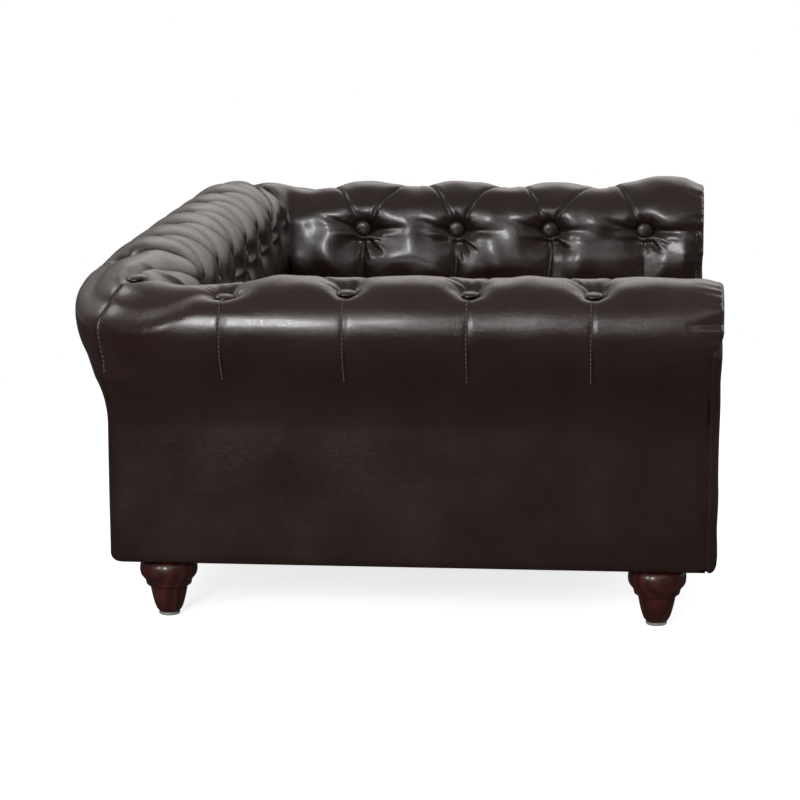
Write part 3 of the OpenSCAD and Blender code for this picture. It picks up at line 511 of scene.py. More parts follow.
def add_attribute(obj, name, values):
    layer = obj.data.attributes.new(name, "FLOAT", "POINT")
    layer.data.foreach_set("value", np.asarray(values, dtype=np.float32))


def add_uv(obj, uv):
    layer = obj.data.uv_layers.new(name="Cloth")
    loops = np.zeros(len(obj.data.loops), dtype=np.int32)
    obj.data.loops.foreach_get("vertex_index", loops)
    layer.data.foreach_set("uv", np.asarray(uv, dtype=np.float32)[loops].ravel())


def even(start, end, step):
    return np.linspace(start, end, max(2, int(round(abs(end - start) / step)) + 1))


def row_places():
    lengths = [UNDER_R * UNDER_LEAN, STRAIGHT_LEN, FLANK_LEN, ARM_R * (np.pi - TOP_ROW_ANGLE),
               ARM_R * TOP_ROW_ANGLE, ARM_MID - DECK_Z]
    steps = [STEP * 1.6, STEP * 1.3, STEP, STEP, STEP, STEP * 1.15]
    rows = [-even(PANEL_DROP + HEM_ARC + 0.008, PANEL_DROP + HEM_ARC, 0.004)[:-1] / PANEL_UNIT,
            -even(PANEL_DROP + HEM_ARC, PANEL_DROP, 0.0013)[:-1] / PANEL_UNIT,
            -even(PANEL_DROP, 0, 0.0055)[:-1] / PANEL_UNIT]
    for k, (length, step) in enumerate(zip(lengths, steps)):
        rows.append(k + even(0, 1, step / length)[:-1])
    return np.concatenate(rows + [np.array([6.0])])


ROWS = row_places()
CORE = np.array([6, 5, 4.65, 4.3, 4, 3, 1.5, 0])


def core_points(section_of, t):
    """Inside of the padding, the panel's inner face and the hem's end, from the deck round to the hem."""
    a, z = moved_out(section(CORE[None, :] + 0 * t, *section_of(t)), -PAD_T)
    inner = OVERHANG + PANEL_T
    extra = np.array([[inner, TUCK_Z - 0.001], [inner, FOOT_H + 0.0009], [OVERHANG + HEM_R + 0.008, FOOT_H + 0.0008]])
    a = np.concatenate([a, np.repeat(extra[None, :, 0], len(a), 0)], axis=1)
    z = np.concatenate([z, np.repeat(extra[None, :, 1], len(z), 0)], axis=1)
    return a, z, np.concatenate([CORE, [0, 0, 0]])[None, :] + 0 * t


def ring_faces(columns, skin_rows, total):
    """Faces of a padded cover: between its columns of points, and over its two ends from the skin to the core."""
    faces = [face for c in range(columns - 1) for face in
             [(c * total + j, (c + 1) * total + j, (c + 1) * total + (j + 1) % total, c * total + (j + 1) % total)
              for j in range(total)]]
    for start in (0, (columns - 1) * total):
        core_start, core_last = start + skin_rows, total - skin_rows - 1
        place = core_last
        for i in range(skin_rows - 1):
            wanted = int(round((1 - (i + 1) / (skin_rows - 1)) * core_last))
            faces.append((start + i, start + i + 1, core_start + place))
            while place > wanted:
                faces.append((start + i + 1, core_start + place - 1, core_start + place))
                place -= 1
    return faces


def padded_cover(name, skin, section_of, place, columns, cover, way=1):
    p, t, wrap = (column[:, None] for column in columns)
    points, fold, cloth = skin(p, t, ROWS[None, :], wrap, cover)
    a, z, u = core_points(section_of, t)
    core = place(p, t, a, u, z)
    verts = np.concatenate([points, core], axis=1).reshape(-1, 3)
    verts[:, 0] *= way
    obj = mesh_piece(name, verts, ring_faces(len(p), points.shape[1], points.shape[1] + core.shape[1]))
    pad = ((0, 0), (0, core.shape[1]))
    # The fold mask, by which the leather paints shade into creases, pits and seams.
    add_attribute(obj, "FoldShade", np.pad(fold + 0 * points[..., 0], pad).ravel())
    add_uv(obj, np.pad(cloth, pad + ((0, 0),)).reshape(-1, 2))
    return obj


CORNER_COLUMNS = even(0, 1, STEP * 0.9 / (CORNER_R * np.pi / 4))[1:]


def arm_columns():
    """Places p, t and wrap of the columns of points, from behind the facing to the mitre."""
    wrap, straight = np.concatenate([[1.9, 1.45], np.linspace(1, 0, 9)]), even(FRONT_EDGE, ARM_STRAIGHT, STEP)[1:]
    p = np.concatenate([np.full(len(wrap), FRONT_EDGE), straight, np.full(len(CORNER_COLUMNS), ARM_STRAIGHT)])
    t = np.concatenate([np.zeros(len(wrap) + len(straight)), CORNER_COLUMNS])
    return p, t, np.concatenate([wrap, np.zeros(len(straight) + len(CORNER_COLUMNS))])


def back_columns():
    straight, count = even(-CORNER_X, CORNER_X, STEP), len(CORNER_COLUMNS)
    p = np.concatenate([np.full(count, -CORNER_X), straight, np.full(count, CORNER_X)])
    t = np.concatenate([CORNER_COLUMNS[::-1], np.zeros(len(straight)), CORNER_COLUMNS])
    return p, t, np.zeros(len(p))


# ---- Materials

def give(tree, made, inputs):
    """Sets a node's inputs, each by a link from the socket or by the value given for it."""
    for key, value in inputs.items():
        if isinstance(value, bpy.types.NodeSocket):
            tree.links.new(value, made.inputs[key])
        else:
            made.inputs[key].default_value = value


def node(tree, kind, inputs=None, **values):
    """A new node; values are its properties or, with their capital letter, its sockets."""
    made = tree.nodes.new(kind)
    for key, value in values.items():
        if hasattr(made, key):
            setattr(made, key, value)
        else:
            made.inputs[key.replace("_", " ")].default_value = value
    give(tree, made, inputs or {})
    return made


def sums(tree, way, *values):
    return node(tree, "ShaderNodeMath", dict(enumerate(values)), operation=way).outputs[0]


def noise(tree, where, **values):
    return node(tree, "ShaderNodeTexNoise", {"Vector": where}, **values).outputs


def warped(tree, where, scale, detail, amount):
    """Coordinates pushed about by a noise."""
    shift = node(tree, "ShaderNodeVectorMath", {0: noise(tree, where, Scale=scale, Detail=detail)["Color"],
                                                "Scale": amount}, operation="SCALE")
    return node(tree, "ShaderNodeVectorMath", {0: where, 1: shift.outputs[0]}, operation="ADD").outputs[0]


def range_to(tree, source, low, high, from_low=0.0, from_high=1.0, way="LINEAR"):
    return node(tree, "ShaderNodeMapRange", {"Value": source, "From Min": from_low, "From Max": from_high,
                                             "To Min": low, "To Max": high}, interpolation_type=way).outputs["Result"]


def group_tree(name, outputs, **inputs):
    """A shader group with its vector, its other inputs with their usual values, and its number outputs."""
    tree = bpy.data.node_groups.new(name, "ShaderNodeTree")
    for label, value in {"Vector": None, **inputs}.items():
        kind = "NodeSocketFloat" if isinstance(value, float) else "NodeSocketVector"
        socket = tree.interface.new_socket(label, in_out="INPUT", socket_type=kind)
        if value is not None:
            socket.default_value = value
    for label in outputs:
        tree.interface.new_socket(label, in_out="OUTPUT", socket_type="NodeSocketFloat")
    return tree, tree.nodes.new("NodeGroupInput").outputs, tree.nodes.new("NodeGroupOutput")


def leather_grain_group():
    """Fine pebble grain with pores and slow cloudy variation."""
    tree, ins, outs = group_tree("Leather grain", ("Height", "Mottle", "Pores"), Pebbles=400.0, Clouds=14.0)
    where = ins["Vector"]
    pebbles = node(tree, "ShaderNodeTexVoronoi", {"Vector": warped(tree, where, 260.0, 2.0, 0.0011),
                                                  "Scale": ins["Pebbles"]}, feature="DISTANCE_TO_EDGE")
    pores = range_to(tree, pebbles.outputs["Distance"], 0.0, 1.0, 0.0, 0.32, "SMOOTHSTEP")
    fine = noise(tree, where, Scale=1000.0, Detail=3.0)["Fac"]
    creases = noise(tree, where, Scale=70.0, Detail=5.0, Roughness=0.6)["Fac"]
    height = sums(tree, "MULTIPLY_ADD", creases, 1.6, sums(tree, "MULTIPLY_ADD", pores, fine, fine))
    clouds = node(tree, "ShaderNodeTexNoise", {"Vector": where, "Scale": ins["Clouds"]}, Detail=6.0, Roughness=0.62)
    give(tree, outs, {"Height": height, "Mottle": clouds.outputs["Fac"], "Pores": pores})
    return tree


def wood_rings_group():
    """Growth rings and fibres along one axis."""
    tree, ins, outs = group_tree("Wood figure", ("Figure", "Fibre"), Rings=40.0, Stretch=(1.0, 1.0, 0.12))
    scaled = node(tree, "ShaderNodeVectorMath", {0: ins["Vector"], 1: ins["Stretch"]}, operation="MULTIPLY").outputs[0]
    rings = node(tree, "ShaderNodeTexWave", {"Vector": warped(tree, scaled, 16.0, 3.0, 0.05), "Scale": ins["Rings"]},
                 wave_type="RINGS", rings_direction="Z", Distortion=2.0, Detail=3.0)
    give(tree, outs, {"Figure": rings.outputs["Fac"], "Fibre": noise(tree, scaled, Scale=900.0, Detail=4.0)["Fac"]})
    return tree


def weave_group():
    """Over-and-under threads of a plain cloth."""
    tree, ins, outs = group_tree("Plain weave", ("Height", "Fuzz"), Threads=900.0)
    across, lengthwise = [node(tree, "ShaderNodeTexWave", {"Vector": ins["Vector"], "Scale": ins["Threads"]},
                               bands_direction=direction, Distortion=0.6, Detail=1.0).outputs["Fac"]
                          for direction in ("X", "Y")]
    give(tree, outs, {"Height": sums(tree, "MAXIMUM", across, lengthwise),
                      "Fuzz": noise(tree, ins["Vector"], Scale=400.0, Detail=4.0)["Fac"]})
    return tree


GRAIN, WOOD, WEAVE = leather_grain_group(), wood_rings_group(), weave_group()


def new_material(name):
    made = bpy.data.materials.new(name)
    made.use_nodes = True
    tree = made.node_tree
    return made, tree, tree.nodes["Principled BSDF"], tree.nodes.new("ShaderNodeTexCoord").outputs["Object"]


def placed(tree, group, where, **values):
    return node(tree, "ShaderNodeGroup", {"Vector": where, **values}, node_tree=group).outputs


def ramp(tree, source, stops):
    made = node(tree, "ShaderNodeValToRGB", {"Fac": source})
    while len(made.color_ramp.elements) < len(stops):
        made.color_ramp.elements.new(0.5)
    for element, (place, colour) in zip(made.color_ramp.elements, stops):
        element.position, element.color = place, colour
    return made.outputs["Color"]


def blend_colours(tree, factor, first, second):
    return node(tree, "ShaderNodeMix", {"Factor": factor, 6: first, 7: second}, data_type="RGBA").outputs[2]


def finish(tree, shader, colour, rough, height, strength, distance, **more):
    """Gives the shader its colour, roughness, bump and other inputs."""
    bump = node(tree, "ShaderNodeBump", {"Height": height}, Strength=strength, Distance=distance)
    give(tree, shader, {"Base Color": colour, "Roughness": rough, "Normal": bump.outputs["Normal"]})
    give(tree, shader, {key.replace("_", " "): value for key, value in more.items()})


def srgb(r, g, b):
    return tuple(((c / 255 + 0.055) / 1.055) ** 2.4 if c > 10 else c / 255 / 12.92 for c in (r, g, b)) + (1.0,)


def leather(name, pebbles=400.0, folds=True, low=0.18, high=0.28):
    made, tree, shader, where = new_material(name)
    grain = placed(tree, GRAIN, where, Pebbles=pebbles)
    colour = ramp(tree, grain["Mottle"], [(0.30, srgb(33, 20, 17)), (0.52, srgb(38, 25, 21)),
                                          (0.72, srgb(43, 29, 25))])
    rough = range_to(tree, grain["Mottle"], low, high, 0.3, 0.7)
    # With folds, shade is painted into creases: close to folds, pits and seams the colour is darkened towards srgb(13,
    # 9, 8) by the fold mask, and the roughness is raised there.
    if folds:
        fold = node(tree, "ShaderNodeAttribute", attribute_name="FoldShade").outputs["Fac"]
        colour = blend_colours(tree, range_to(tree, fold, 0.0, 0.75), colour, srgb(13, 9, 8))
        rough = sums(tree, "ADD", rough, range_to(tree, fold, 0.0, 0.2))
    finish(tree, shader, colour, rough, grain["Height"], 0.30, 0.00046,
           Coat_Weight=range_to(tree, grain["Pores"], 0.14, 0.60), Coat_Roughness=0.13)
    return made


def wood(name, colours, rings, stretch, rough, coat=0.0, grain=0.25):
    made, tree, shader, where = new_material(name)
    figure = placed(tree, WOOD, where, Rings=rings, Stretch=stretch)
    colour = ramp(tree, figure["Figure"], list(zip((0.0, 0.55, 1.0), colours)))
    colour = blend_colours(tree, range_to(tree, figure["Fibre"], 0.0, 0.5, 0.35, 0.75), colour, colours[0])
    finish(tree, shader, colour, range_to(tree, figure["Fibre"], rough - 0.06, rough + 0.1), figure["Fibre"],
           grain, 0.0003, Coat_Weight=coat, Coat_Roughness=0.12)
    return made


def cloth(name, dark, light, threads, rough=0.85):
    made, tree, shader, where = new_material(name)
    weave = placed(tree, WEAVE, where, Threads=threads)
    both = sums(tree, "MULTIPLY", weave["Height"], weave["Fuzz"])
    finish(tree, shader, ramp(tree, both, [(0.15, dark), (0.6, light)]), rough, weave["Height"], 0.5, 0.0003,
           Sheen_Weight=0.15)
    return made


def metal(name, dark, light, rough):
    made, tree, shader, where = new_material(name)
    smear = noise(tree, where, Scale=240.0, Detail=5.0, Roughness=0.7)["Fac"]
    finish(tree, shader, ramp(tree, smear, [(0.3, dark), (0.7, light)]),
           range_to(tree, smear, rough - 0.08, rough + 0.12), smear, 0.15, 0.0002, Metallic=1.0)
    return made


def moulded(name, dark, light, rough):
    made, tree, shader, where = new_material(name)
    specks = noise(tree, where, Scale=700.0, Detail=4.0)["Fac"]
    finish(tree, shader, ramp(tree, specks, [(0.35, dark), (0.65, light)]),
           range_to(tree, specks, rough - 0.05, rough + 0.1), specks, 0.2, 0.0003)
    return made


def open_foam(name):
    made, tree, shader, where = new_material(name)
    cells = node(tree, "ShaderNodeTexVoronoi", {"Vector": where}, Scale=650.0).outputs["Distance"]
    finish(tree, shader, ramp(tree, cells, [(0.0, srgb(206, 188, 132)), (0.6, srgb(232, 219, 170))]), 0.95, cells,
           0.8, 0.0008)
    return made


FINISH = {
    "cover": leather("Dark brown coated leather"),
    "button_cover": leather("Button leather", 700.0, False, 0.16, 0.26),
    "cushion_cover": leather("Cushion leather", 520.0, True, 0.34, 0.46),
    "thread": cloth("Waxed thread", srgb(66, 54, 49), srgb(112, 98, 90), 2400.0, 0.6),
    "frame_wood": wood("Sawn pine", (srgb(176, 134, 88), srgb(206, 168, 118), srgb(222, 190, 144)), 26.0,
                       (1.0, 0.1, 1.0), 0.7),
    "plywood": wood("Plywood", (srgb(170, 132, 92), srgb(198, 162, 118), srgb(212, 180, 138)), 14.0,
                    (0.2, 1.0, 1.0), 0.75),
    "liner_board": moulded("Grey liner board", srgb(118, 104, 88), srgb(142, 128, 110), 0.9),
    "foot_wood": wood("Dark cherry stain", (srgb(44, 15, 12), srgb(56, 20, 15), srgb(68, 25, 18)), 30.0,
                      (1.0, 1.0, 0.16), 0.36, 0.35, 0.12),
    "foam": open_foam("Open cell foam"),
    "zip_tape": cloth("Zip tape", srgb(16, 14, 14), srgb(36, 32, 31), 1500.0),
    "zip_metal": metal("Zip metal", srgb(150, 140, 120), srgb(196, 188, 168), 0.3),
    "steel": metal("Plated steel", srgb(168, 168, 166), srgb(205, 205, 203), 0.28),
    "glide": moulded("Grey glide", srgb(120, 116, 112), srgb(150, 146, 142), 0.55),
    "dust_cloth": cloth("Dust cloth", srgb(14, 14, 15), srgb(34, 34, 36), 1100.0)}


def dress(obj, material):
    obj.data.materials.clear()
    obj.data.materials.append(material)


for part in frame["record"]["subparts"]:
    dress(frame["nodes"][part["node"]], FINISH[part["material_slot"]])


def settle(piece, body, slot_name, replaced=(), finish_name=None):
    """Gives a piece the finish of its slot, or the finish named, hangs it on its body, and hides the nodes that it is
    shown in place of.
    """
    # Covers without a fold mask get an empty one, so no shade is painted on them.
    if not finish_name and slot_name in ("cover", "cushion_cover") and "FoldShade" not in piece.data.attributes:
        add_attribute(piece, "FoldShade", np.zeros(len(piece.data.vertices)))
    dress(piece, FINISH[finish_name or slot_name])
    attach(piece, body)
    if replaced:
        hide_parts(*replaced)


for side, way, cover in SIDES:
    piece = padded_cover("cover_arm_" + side, arm_skin, arm_section, arm_place, arm_columns(), cover, way)
    settle(piece, "frame", "cover", ["arm_pad_" + side, "outside_panel_" + side])
piece = padded_cover("cover_back", back_skin, back_section, back_place, back_columns(), REAR)
settle(piece, "frame", "cover", ["back_pad", "outside_panel_back"])


# ---- Things that repeat: buttons, stitches, staples, zip teeth

def repeat_tree():
    """Sets a small shape on every point, aimed and turned by the points' own attributes."""
    tree = bpy.data.node_groups.new("Repeat along points", "GeometryNodeTree")
    for label, kind, value in (("Geometry", "Geometry", None), ("Shape", "Object", None), ("Length", "Float", 1.0),
                               ("Width", "Float", 1.0), ("Height", "Float", 1.0), ("Unevenness", "Float", 0.0),
                               ("Seed", "Int", 3), ("Finish", "Material", None)):
        socket = tree.interface.new_socket(label, in_out="INPUT", socket_type="NodeSocket" + kind)
        if value is not None:
            socket.default_value = value
    tree.interface.new_socket("Geometry", in_out="OUTPUT", socket_type="NodeSocketGeometry")
    ins, outs = tree.nodes.new("NodeGroupInput").outputs, tree.nodes.new("NodeGroupOutput")
    shape = node(tree, "GeometryNodeObjectInfo", {"Object": ins["Shape"]})
    aim, turn = [node(tree, "GeometryNodeInputNamedAttribute", data_type="FLOAT_VECTOR", Name=label)
                 .outputs["Attribute"] for label in ("aim", "turn")]
    stand = node(tree, "FunctionNodeAlignRotationToVector", {"Vector": aim}, axis="Z")
    lie = node(tree, "FunctionNodeAlignRotationToVector", {"Rotation": stand.outputs["Rotation"], "Vector": turn},
               axis="X", pivot_axis="Z")
    vary = node(tree, "FunctionNodeRandomValue", {"Seed": ins["Seed"], 2: -1.0, 3: 1.0}, data_type="FLOAT")
    spread = sums(tree, "MULTIPLY_ADD", vary.outputs[1], ins["Unevenness"], 1.0)
    sizes = node(tree, "ShaderNodeCombineXYZ", {"X": ins["Length"], "Y": ins["Width"], "Z": ins["Height"]})
    scale = node(tree, "ShaderNodeVectorMath", {0: sizes.outputs[0], "Scale": spread}, operation="SCALE")
    places = node(tree, "GeometryNodeInstanceOnPoints",
                  {"Points": ins["Geometry"], "Instance": shape.outputs["Geometry"],
                   "Rotation": lie.outputs["Rotation"], "Scale": scale.outputs[0]})
    real = node(tree, "GeometryNodeRealizeInstances", {"Geometry": places.outputs["Instances"]})
    finish_node = node(tree, "GeometryNodeSetMaterial", {"Geometry": real.outputs["Geometry"],
                                                         "Material": ins["Finish"]})
    give(tree, outs, {"Geometry": finish_node.outputs["Geometry"]})
    return tree


REPEAT = repeat_tree()


def repeated(name, points, aims, turns, shape, material, length=1.0, width=1.0, height=1.0, uneven=0.0, seed=3):
    mesh = bpy.data.meshes.new(name)
    mesh.from_pydata([tuple(p) for p in points], [], [])
    for label, values in (("aim", aims), ("turn", turns)):
        layer = mesh.attributes.new(label, "FLOAT_VECTOR", "POINT")
        layer.data.foreach_set("vector", np.asarray(values, dtype=np.float32).ravel())
    obj = in_scene(bpy.data.objects.new(name, mesh))
    modifier = obj.modifiers.new("Repeat", "NODES")
    modifier.node_group = REPEAT
    given = {"Shape": shape, "Length": length, "Width": width, "Height": height, "Unevenness": uneven, "Seed": seed,
             "Finish": material}
    for item in REPEAT.interface.items_tree:
        if item.item_type == "SOCKET" and item.in_out == "INPUT" and item.name in given:
            modifier[item.identifier] = given[item.name]
    apply_modifiers(obj)
    obj.data.shade_smooth()
    return obj


def lathe(name, profile, around, keep=True):
    """A turned shape about Z from (radius, height) points; the first and last close on the axis."""
    turns = [2 * math.pi * k / around for k in range(around)]
    return closed_rings(name, [[(radius * math.cos(a), radius * math.sin(a), height) for a in turns]
                               for radius, height in profile], keep=keep)


def button_shape():
    """Domed button with cloth drawn over its rim."""
    profile = [(0.0030, 0.0002), (0.0055, 0.0004), (0.0085, 0.0018), (0.0099, 0.0030), (0.0100, 0.0034),
               (0.0096, 0.0041), (0.0086, 0.0050), (0.0068, 0.0057), (0.0044, 0.00615), (0.0018, 0.0063)]
    return lathe("button_form", profile, 28, False)


def stitch_shape():
    """One stitch: a short thread, thick in the middle, that dives at both ends."""
    turns = [2 * math.pi * k / 6 for k in range(6)]
    rings = [[(x, 0.5 * thick * math.cos(a), 0.5 * (lift + thick * math.sin(a))) for a in turns]
             for x, thick, lift in ((-0.5, 0.35, -0.6), (-0.42, 0.8, 0.2), (-0.2, 1.0, 0.75),
                                    (0.2, 1.0, 0.75), (0.42, 0.8, 0.2), (0.5, 0.35, -0.6))]
    return closed_rings("stitch_form", rings, keep=False)


BUTTON, STITCH = button_shape(), stitch_shape()
TOP_BUTTON_LEAN, TOP_BUTTON_SINK = math.radians(21), 0.0027
STITCH_PITCH, STITCH_LEN, THREAD_D = 0.0046, 0.0030, 0.00100


def button_on(angle, r, mid_z, fall=0.0):
    """Where a button sits, and which way it faces: the top row's are tipped upwards by their pits."""
    top = angle == TOP_ROW_ANGLE
    facing, sunk = (angle - TOP_BUTTON_LEAN, BUTTON_SINK + TOP_BUTTON_SINK + fall) if top else (angle, BUTTON_SINK)
    a, z = moved_out(on_roll(np.array(angle), r, mid_z), -sunk)
    return a, z - (INNER_DROP if angle == 0 else 0.0), math.cos(facing), math.sin(facing)


def set_buttons(name, part, points, aims, turns, seed, uneven=0.03):
    piece = repeated(name, points, aims, turns, BUTTON, FINISH["button_cover"], uneven=uneven, seed=seed)
    settle(piece, "frame", "button_cover", [part])


def button_rows(name, part, cover, r, mid_z, seed, way=1):
    """The top and inner rows of buttons on one cover."""
    points, aims = [], []
    for row, angle in ((cover.tops, TOP_ROW_ANGLE), (cover.inners, 0.0)):
        for p in row:
            a, z, out_a, out_z = button_on(angle, r, mid_z, corner_fall(cover.end - abs(p), is_left(cover, p)))
            points.append((p, BACK - a, z) if cover is REAR else ((-HALF_WIDTH + a) * way, FRONT + p, z))
            aims.append((0, -out_a, out_z) if cover is REAR else (out_a * way, 0, out_z))
    set_buttons(name, part, points, aims, [(1, 0, 0) if cover is REAR else (0, 1, 0)] * len(points), seed)


def corner_buttons():
    r, mid_z = arm_section(1.0)
    angle = math.acos((CORNER_BUTTON - r) / r)
    a, z, out_a, out_z = button_on(angle, r, mid_z)
    x, y = corner_point(np.array(a), np.array(4.0), np.array(1.0))
    slant = math.sqrt(0.5)
    points = [(float(x) * way, float(y), z - low * math.sin(angle))
              for way, low in ((1, FIRM_CORNER_DROP), (-1, CORNER_DROP))]
    aims = [(out_a * way * slant, -out_a * slant, out_z) for way in (1, -1)]
    turns = [(way * slant, slant, 0) for way in (1, -1)]
    set_buttons("corner_buttons_dressed", "corner_buttons", points, aims, turns, 12, 0.0)


for side, way, cover in SIDES:
    button_rows("arm_buttons_dressed_" + side, "arm_buttons_" + side, cover, ARM_R, ARM_MID, 5 - way, way)
button_rows("back_buttons_dressed", "back_buttons_row", REAR, BACK_R, BACK_MID, 9)
corner_buttons()


def spaced(points, normals, pitch):
    """Even places along a line of points, with their normals and directions."""
    run = np.concatenate([[0], np.cumsum(np.linalg.norm(np.diff(points, axis=0), axis=1))])
    at = lambda places, values: np.stack([np.interp(places, run, values[:, k]) for k in range(3)], axis=1)
    wanted = np.arange(pitch / 2, run[-1], pitch)
    put, up = at(wanted, points), at(wanted, normals)
    ahead = unit((at(wanted + 0.0008, points) - put) + (put - at(wanted - 0.0008, points)))
    return put, unit(up - ahead * np.sum(up * ahead, axis=1)[:, None]), ahead


def seam_line(skin, cover, p, t=0.0):
    """A line close beside an outward seam, or beside the mitre for t = 1, with the directions out of the cover."""
    u, no_wrap, gap = np.linspace(1.35, 3.74, 200)[None, :], np.array([[0.0]]), 0.0016
    places = [(p, t - gap * 14), (p, t - (gap * 14 + 0.02))] if t else [(p + gap, t), (p + (gap + 0.0012), t)]
    line, beside = [skin(np.array([[p]]), np.array([[t]]), u, no_wrap, cover)[0][0] for p, t in places]
    normals = unit(np.cross(beside - line, np.gradient(line, axis=0)))
    return line, normals * np.sign(np.sum((line - (0.0, 0.0, 0.22)) * normals, axis=1))[:, None]


def stitch_piece(name, lines, seed, pitch=STITCH_PITCH, body="frame"):
    put, up, ahead = (np.concatenate(part) for part in zip(*(spaced(*line, pitch) for line in lines)))
    piece = repeated(name, put, up, ahead, STITCH, FINISH["thread"], STITCH_LEN, THREAD_D, THREAD_D, 0.08, seed)
    settle(piece, body, "cover", finish_name="thread")


for side, way, cover in SIDES:
    lines = [seam_line(arm_skin, cover, p) for p in ARM_TOPS] + [seam_line(arm_skin, cover, ARM_STRAIGHT, 1.0)]
    stitch_piece("seam_stitches_arm_" + side, [[part * (way, 1, 1) for part in line] for line in lines], 20 + way)
stitch_piece("seam_stitches_back", [seam_line(back_skin, REAR, x) for x in BACK_TOPS], 31)


# ---- Facings, border and dust cloth

def facing_outline():
    """The scroll's outline from the foot of its outer edge round the roll to the foot of its inner edge."""
    inset, foot = 0.0085, FOOT_H + 0.0015
    u = np.concatenate([np.linspace(0, 3, 46), 3 + np.linspace(0, 1, 20)[1:], 4 + np.linspace(0, 1, 42)[1:]])
    tight = inset * np.maximum(over_facing(u), np.where(u < 5, 0.16, 0.03))
    pts = np.stack(moved_out(section(u, ARM_R, ARM_MID), -tight), axis=1)
    left = np.stack([np.full(30, pts[0, 0]), np.linspace(foot, pts[0, 1], 31)[:-1]], axis=1)
    right = np.stack([np.full(45, 2 * ARM_R - inset * 0.03), np.linspace(pts[-1, 1], foot, 46)[1:]], axis=1)
    return np.concatenate([left, pts, right])


def distance_inside(points, outline):
    best = np.full(len(points), 1.0)
    for start, end in zip(outline, np.roll(outline, -1, axis=0)):
        d = end - start
        share = clamp(((points - start) @ d) / max(1e-12, d @ d))
        best = np.minimum(best, np.hypot(*(points - start - share[:, None] * d).T))
    return best


def rolled(gap, reach):
    """Rise of an edge that rolls over within its reach, by the distance inside the edge."""
    return np.sqrt(clamp(1 - (1 - clamp(gap / reach)) ** 2))


def facing(name, way, seed):
    """Upholstered board on the arm's front: flat in the middle, rolled at its edge."""
    outline = facing_outline()
    count = len(outline)
    middle = np.array([[np.interp(p[1], [0.056, TUCK_Z, 0.282, 0.30], [0.066, 0.066, 0.050, 0.047]),
                        min(max(p[1], 0.085), 0.290)] for p in outline])
    shares = np.concatenate([1 - np.linspace(0, 1, 15) ** 1.6 * 0.55, np.linspace(0.40, 0.0, 8)])
    flat = np.concatenate([middle + (outline - middle) * share for share in shares])
    gap = distance_inside(flat, outline)
    lift = waves(flat[:, 0], flat[:, 1], seed, 0.09, 0.04, 0.0004)
    y = FRAME_FRONT - 0.0038 - 0.0064 * rolled(gap, 0.0075) - 0.0012 * clamp(gap / 0.03) - lift * clamp(gap / 0.01)
    verts = [((-HALF_WIDTH + a) * way, y_at, z) for (a, z), y_at in zip(flat, y)]
    faces, ring = walls(len(shares), count), 0
    for share, depth in ((0.985, 0.0026), (0.955, 0.0012), (0.94, 0.0001)):
        faces += wall(len(verts), ring, count)
        ring = len(verts)
        verts += [((-HALF_WIDTH + a) * way, FRAME_FRONT - depth, z) for a, z in middle + (outline - middle) * share]
    faces.append(range(ring, ring + count))
    return mesh_piece(name, verts, faces, weld=0.00002)


def edge_gap(x, y, half, low, high):
    return np.minimum(np.minimum(x + half, half - x), np.minimum(y - low, high - y))


def front_border():
    """Long padded band under the seat, rolled at its top and bottom and at its ends."""
    half, low, high = 0.3572, 0.0568, 0.1262
    roll = lambda start, stop: 0.012 * (1 - np.cos(np.linspace(start, stop, 9)))

    def places(first, last, step):
        return np.concatenate([first + roll(0, np.pi / 2), even(first + 0.014, last - 0.014, step),
                               last - roll(np.pi / 2, 0)])

    x, z = np.meshgrid(places(-half, half, 0.005), places(low, high, 0.004), indexing="ij")
    gap = edge_gap(x, z, half, low, high)
    y = FRAME_FRONT - 0.0004 - 0.0073 * rolled(gap, 0.007) - 0.0016 * clamp(gap / 0.03) ** 0.7
    y -= waves(x, z * 1.5, 71, 0.12, 0.035, 0.0005) * clamp(gap / 0.01)
    return double_sheet("border_front", stack(x, y, z), stack(x, FRAME_FRONT - 0.0001, z))


def deck_edge():
    """The border's cover turned in over the edge of the deck, under the cushion."""
    x, y = np.meshgrid(even(-0.3557, 0.3557, 0.03), [FRAME_FRONT - 0.0004, -0.280, -0.255, -0.225], indexing="ij")
    return double_sheet("border_turned_in", stack(x, y, 0.12604), stack(x, y, 0.12622), smooth=False)


def dust_cloth():
    """Thin cloth under the frame, its hem folded in, sagging a little between the rails."""
    half, front, back = 0.3985, FRAME_FRONT + 0.008, 0.2515
    x, y = np.meshgrid(even(-half, half, 0.009), even(front, back, 0.009), indexing="ij")
    gap = edge_gap(x, y, half, front, back)
    sag = 0.0018 * ease(gap / 0.09) + waves(x, y, 81, 0.2, 0.06, 0.0002) * clamp(gap / 0.02)
    low = 0.0553 - sag - 0.0003 * (gap < 0.012)
    return double_sheet("dust_cloth_under", stack(x, y, low), stack(x, y, low + 0.0005))


for side, way, _ in SIDES:
    settle(facing("facing_arm_" + side, way, 60 + way), "frame", "cover", ["arm_facing_" + side])
settle(front_border(), "frame", "cover", ["front_border"])
settle(deck_edge(), "frame", "cover")
settle(dust_cloth(), "frame", "dust_cloth", ["dust_cover"])


def staple_shape():
    """A staple's crown with its two legs turned down."""
    wire = ((-0.0004, -0.0002), (0.0004, -0.0002), (0.0004, 0.0003), (-0.0004, 0.0003))
    bends = ((-0.0050, -0.0010), (-0.0050, -0.0002), (-0.0042, 0.0), (0.0042, 0.0), (0.0050, -0.0002),
             (0.0050, -0.0010))
    return closed_rings("staple_form", [[(x, y, z + dz) for y, dz in wire] for x, z in bends], False, False)


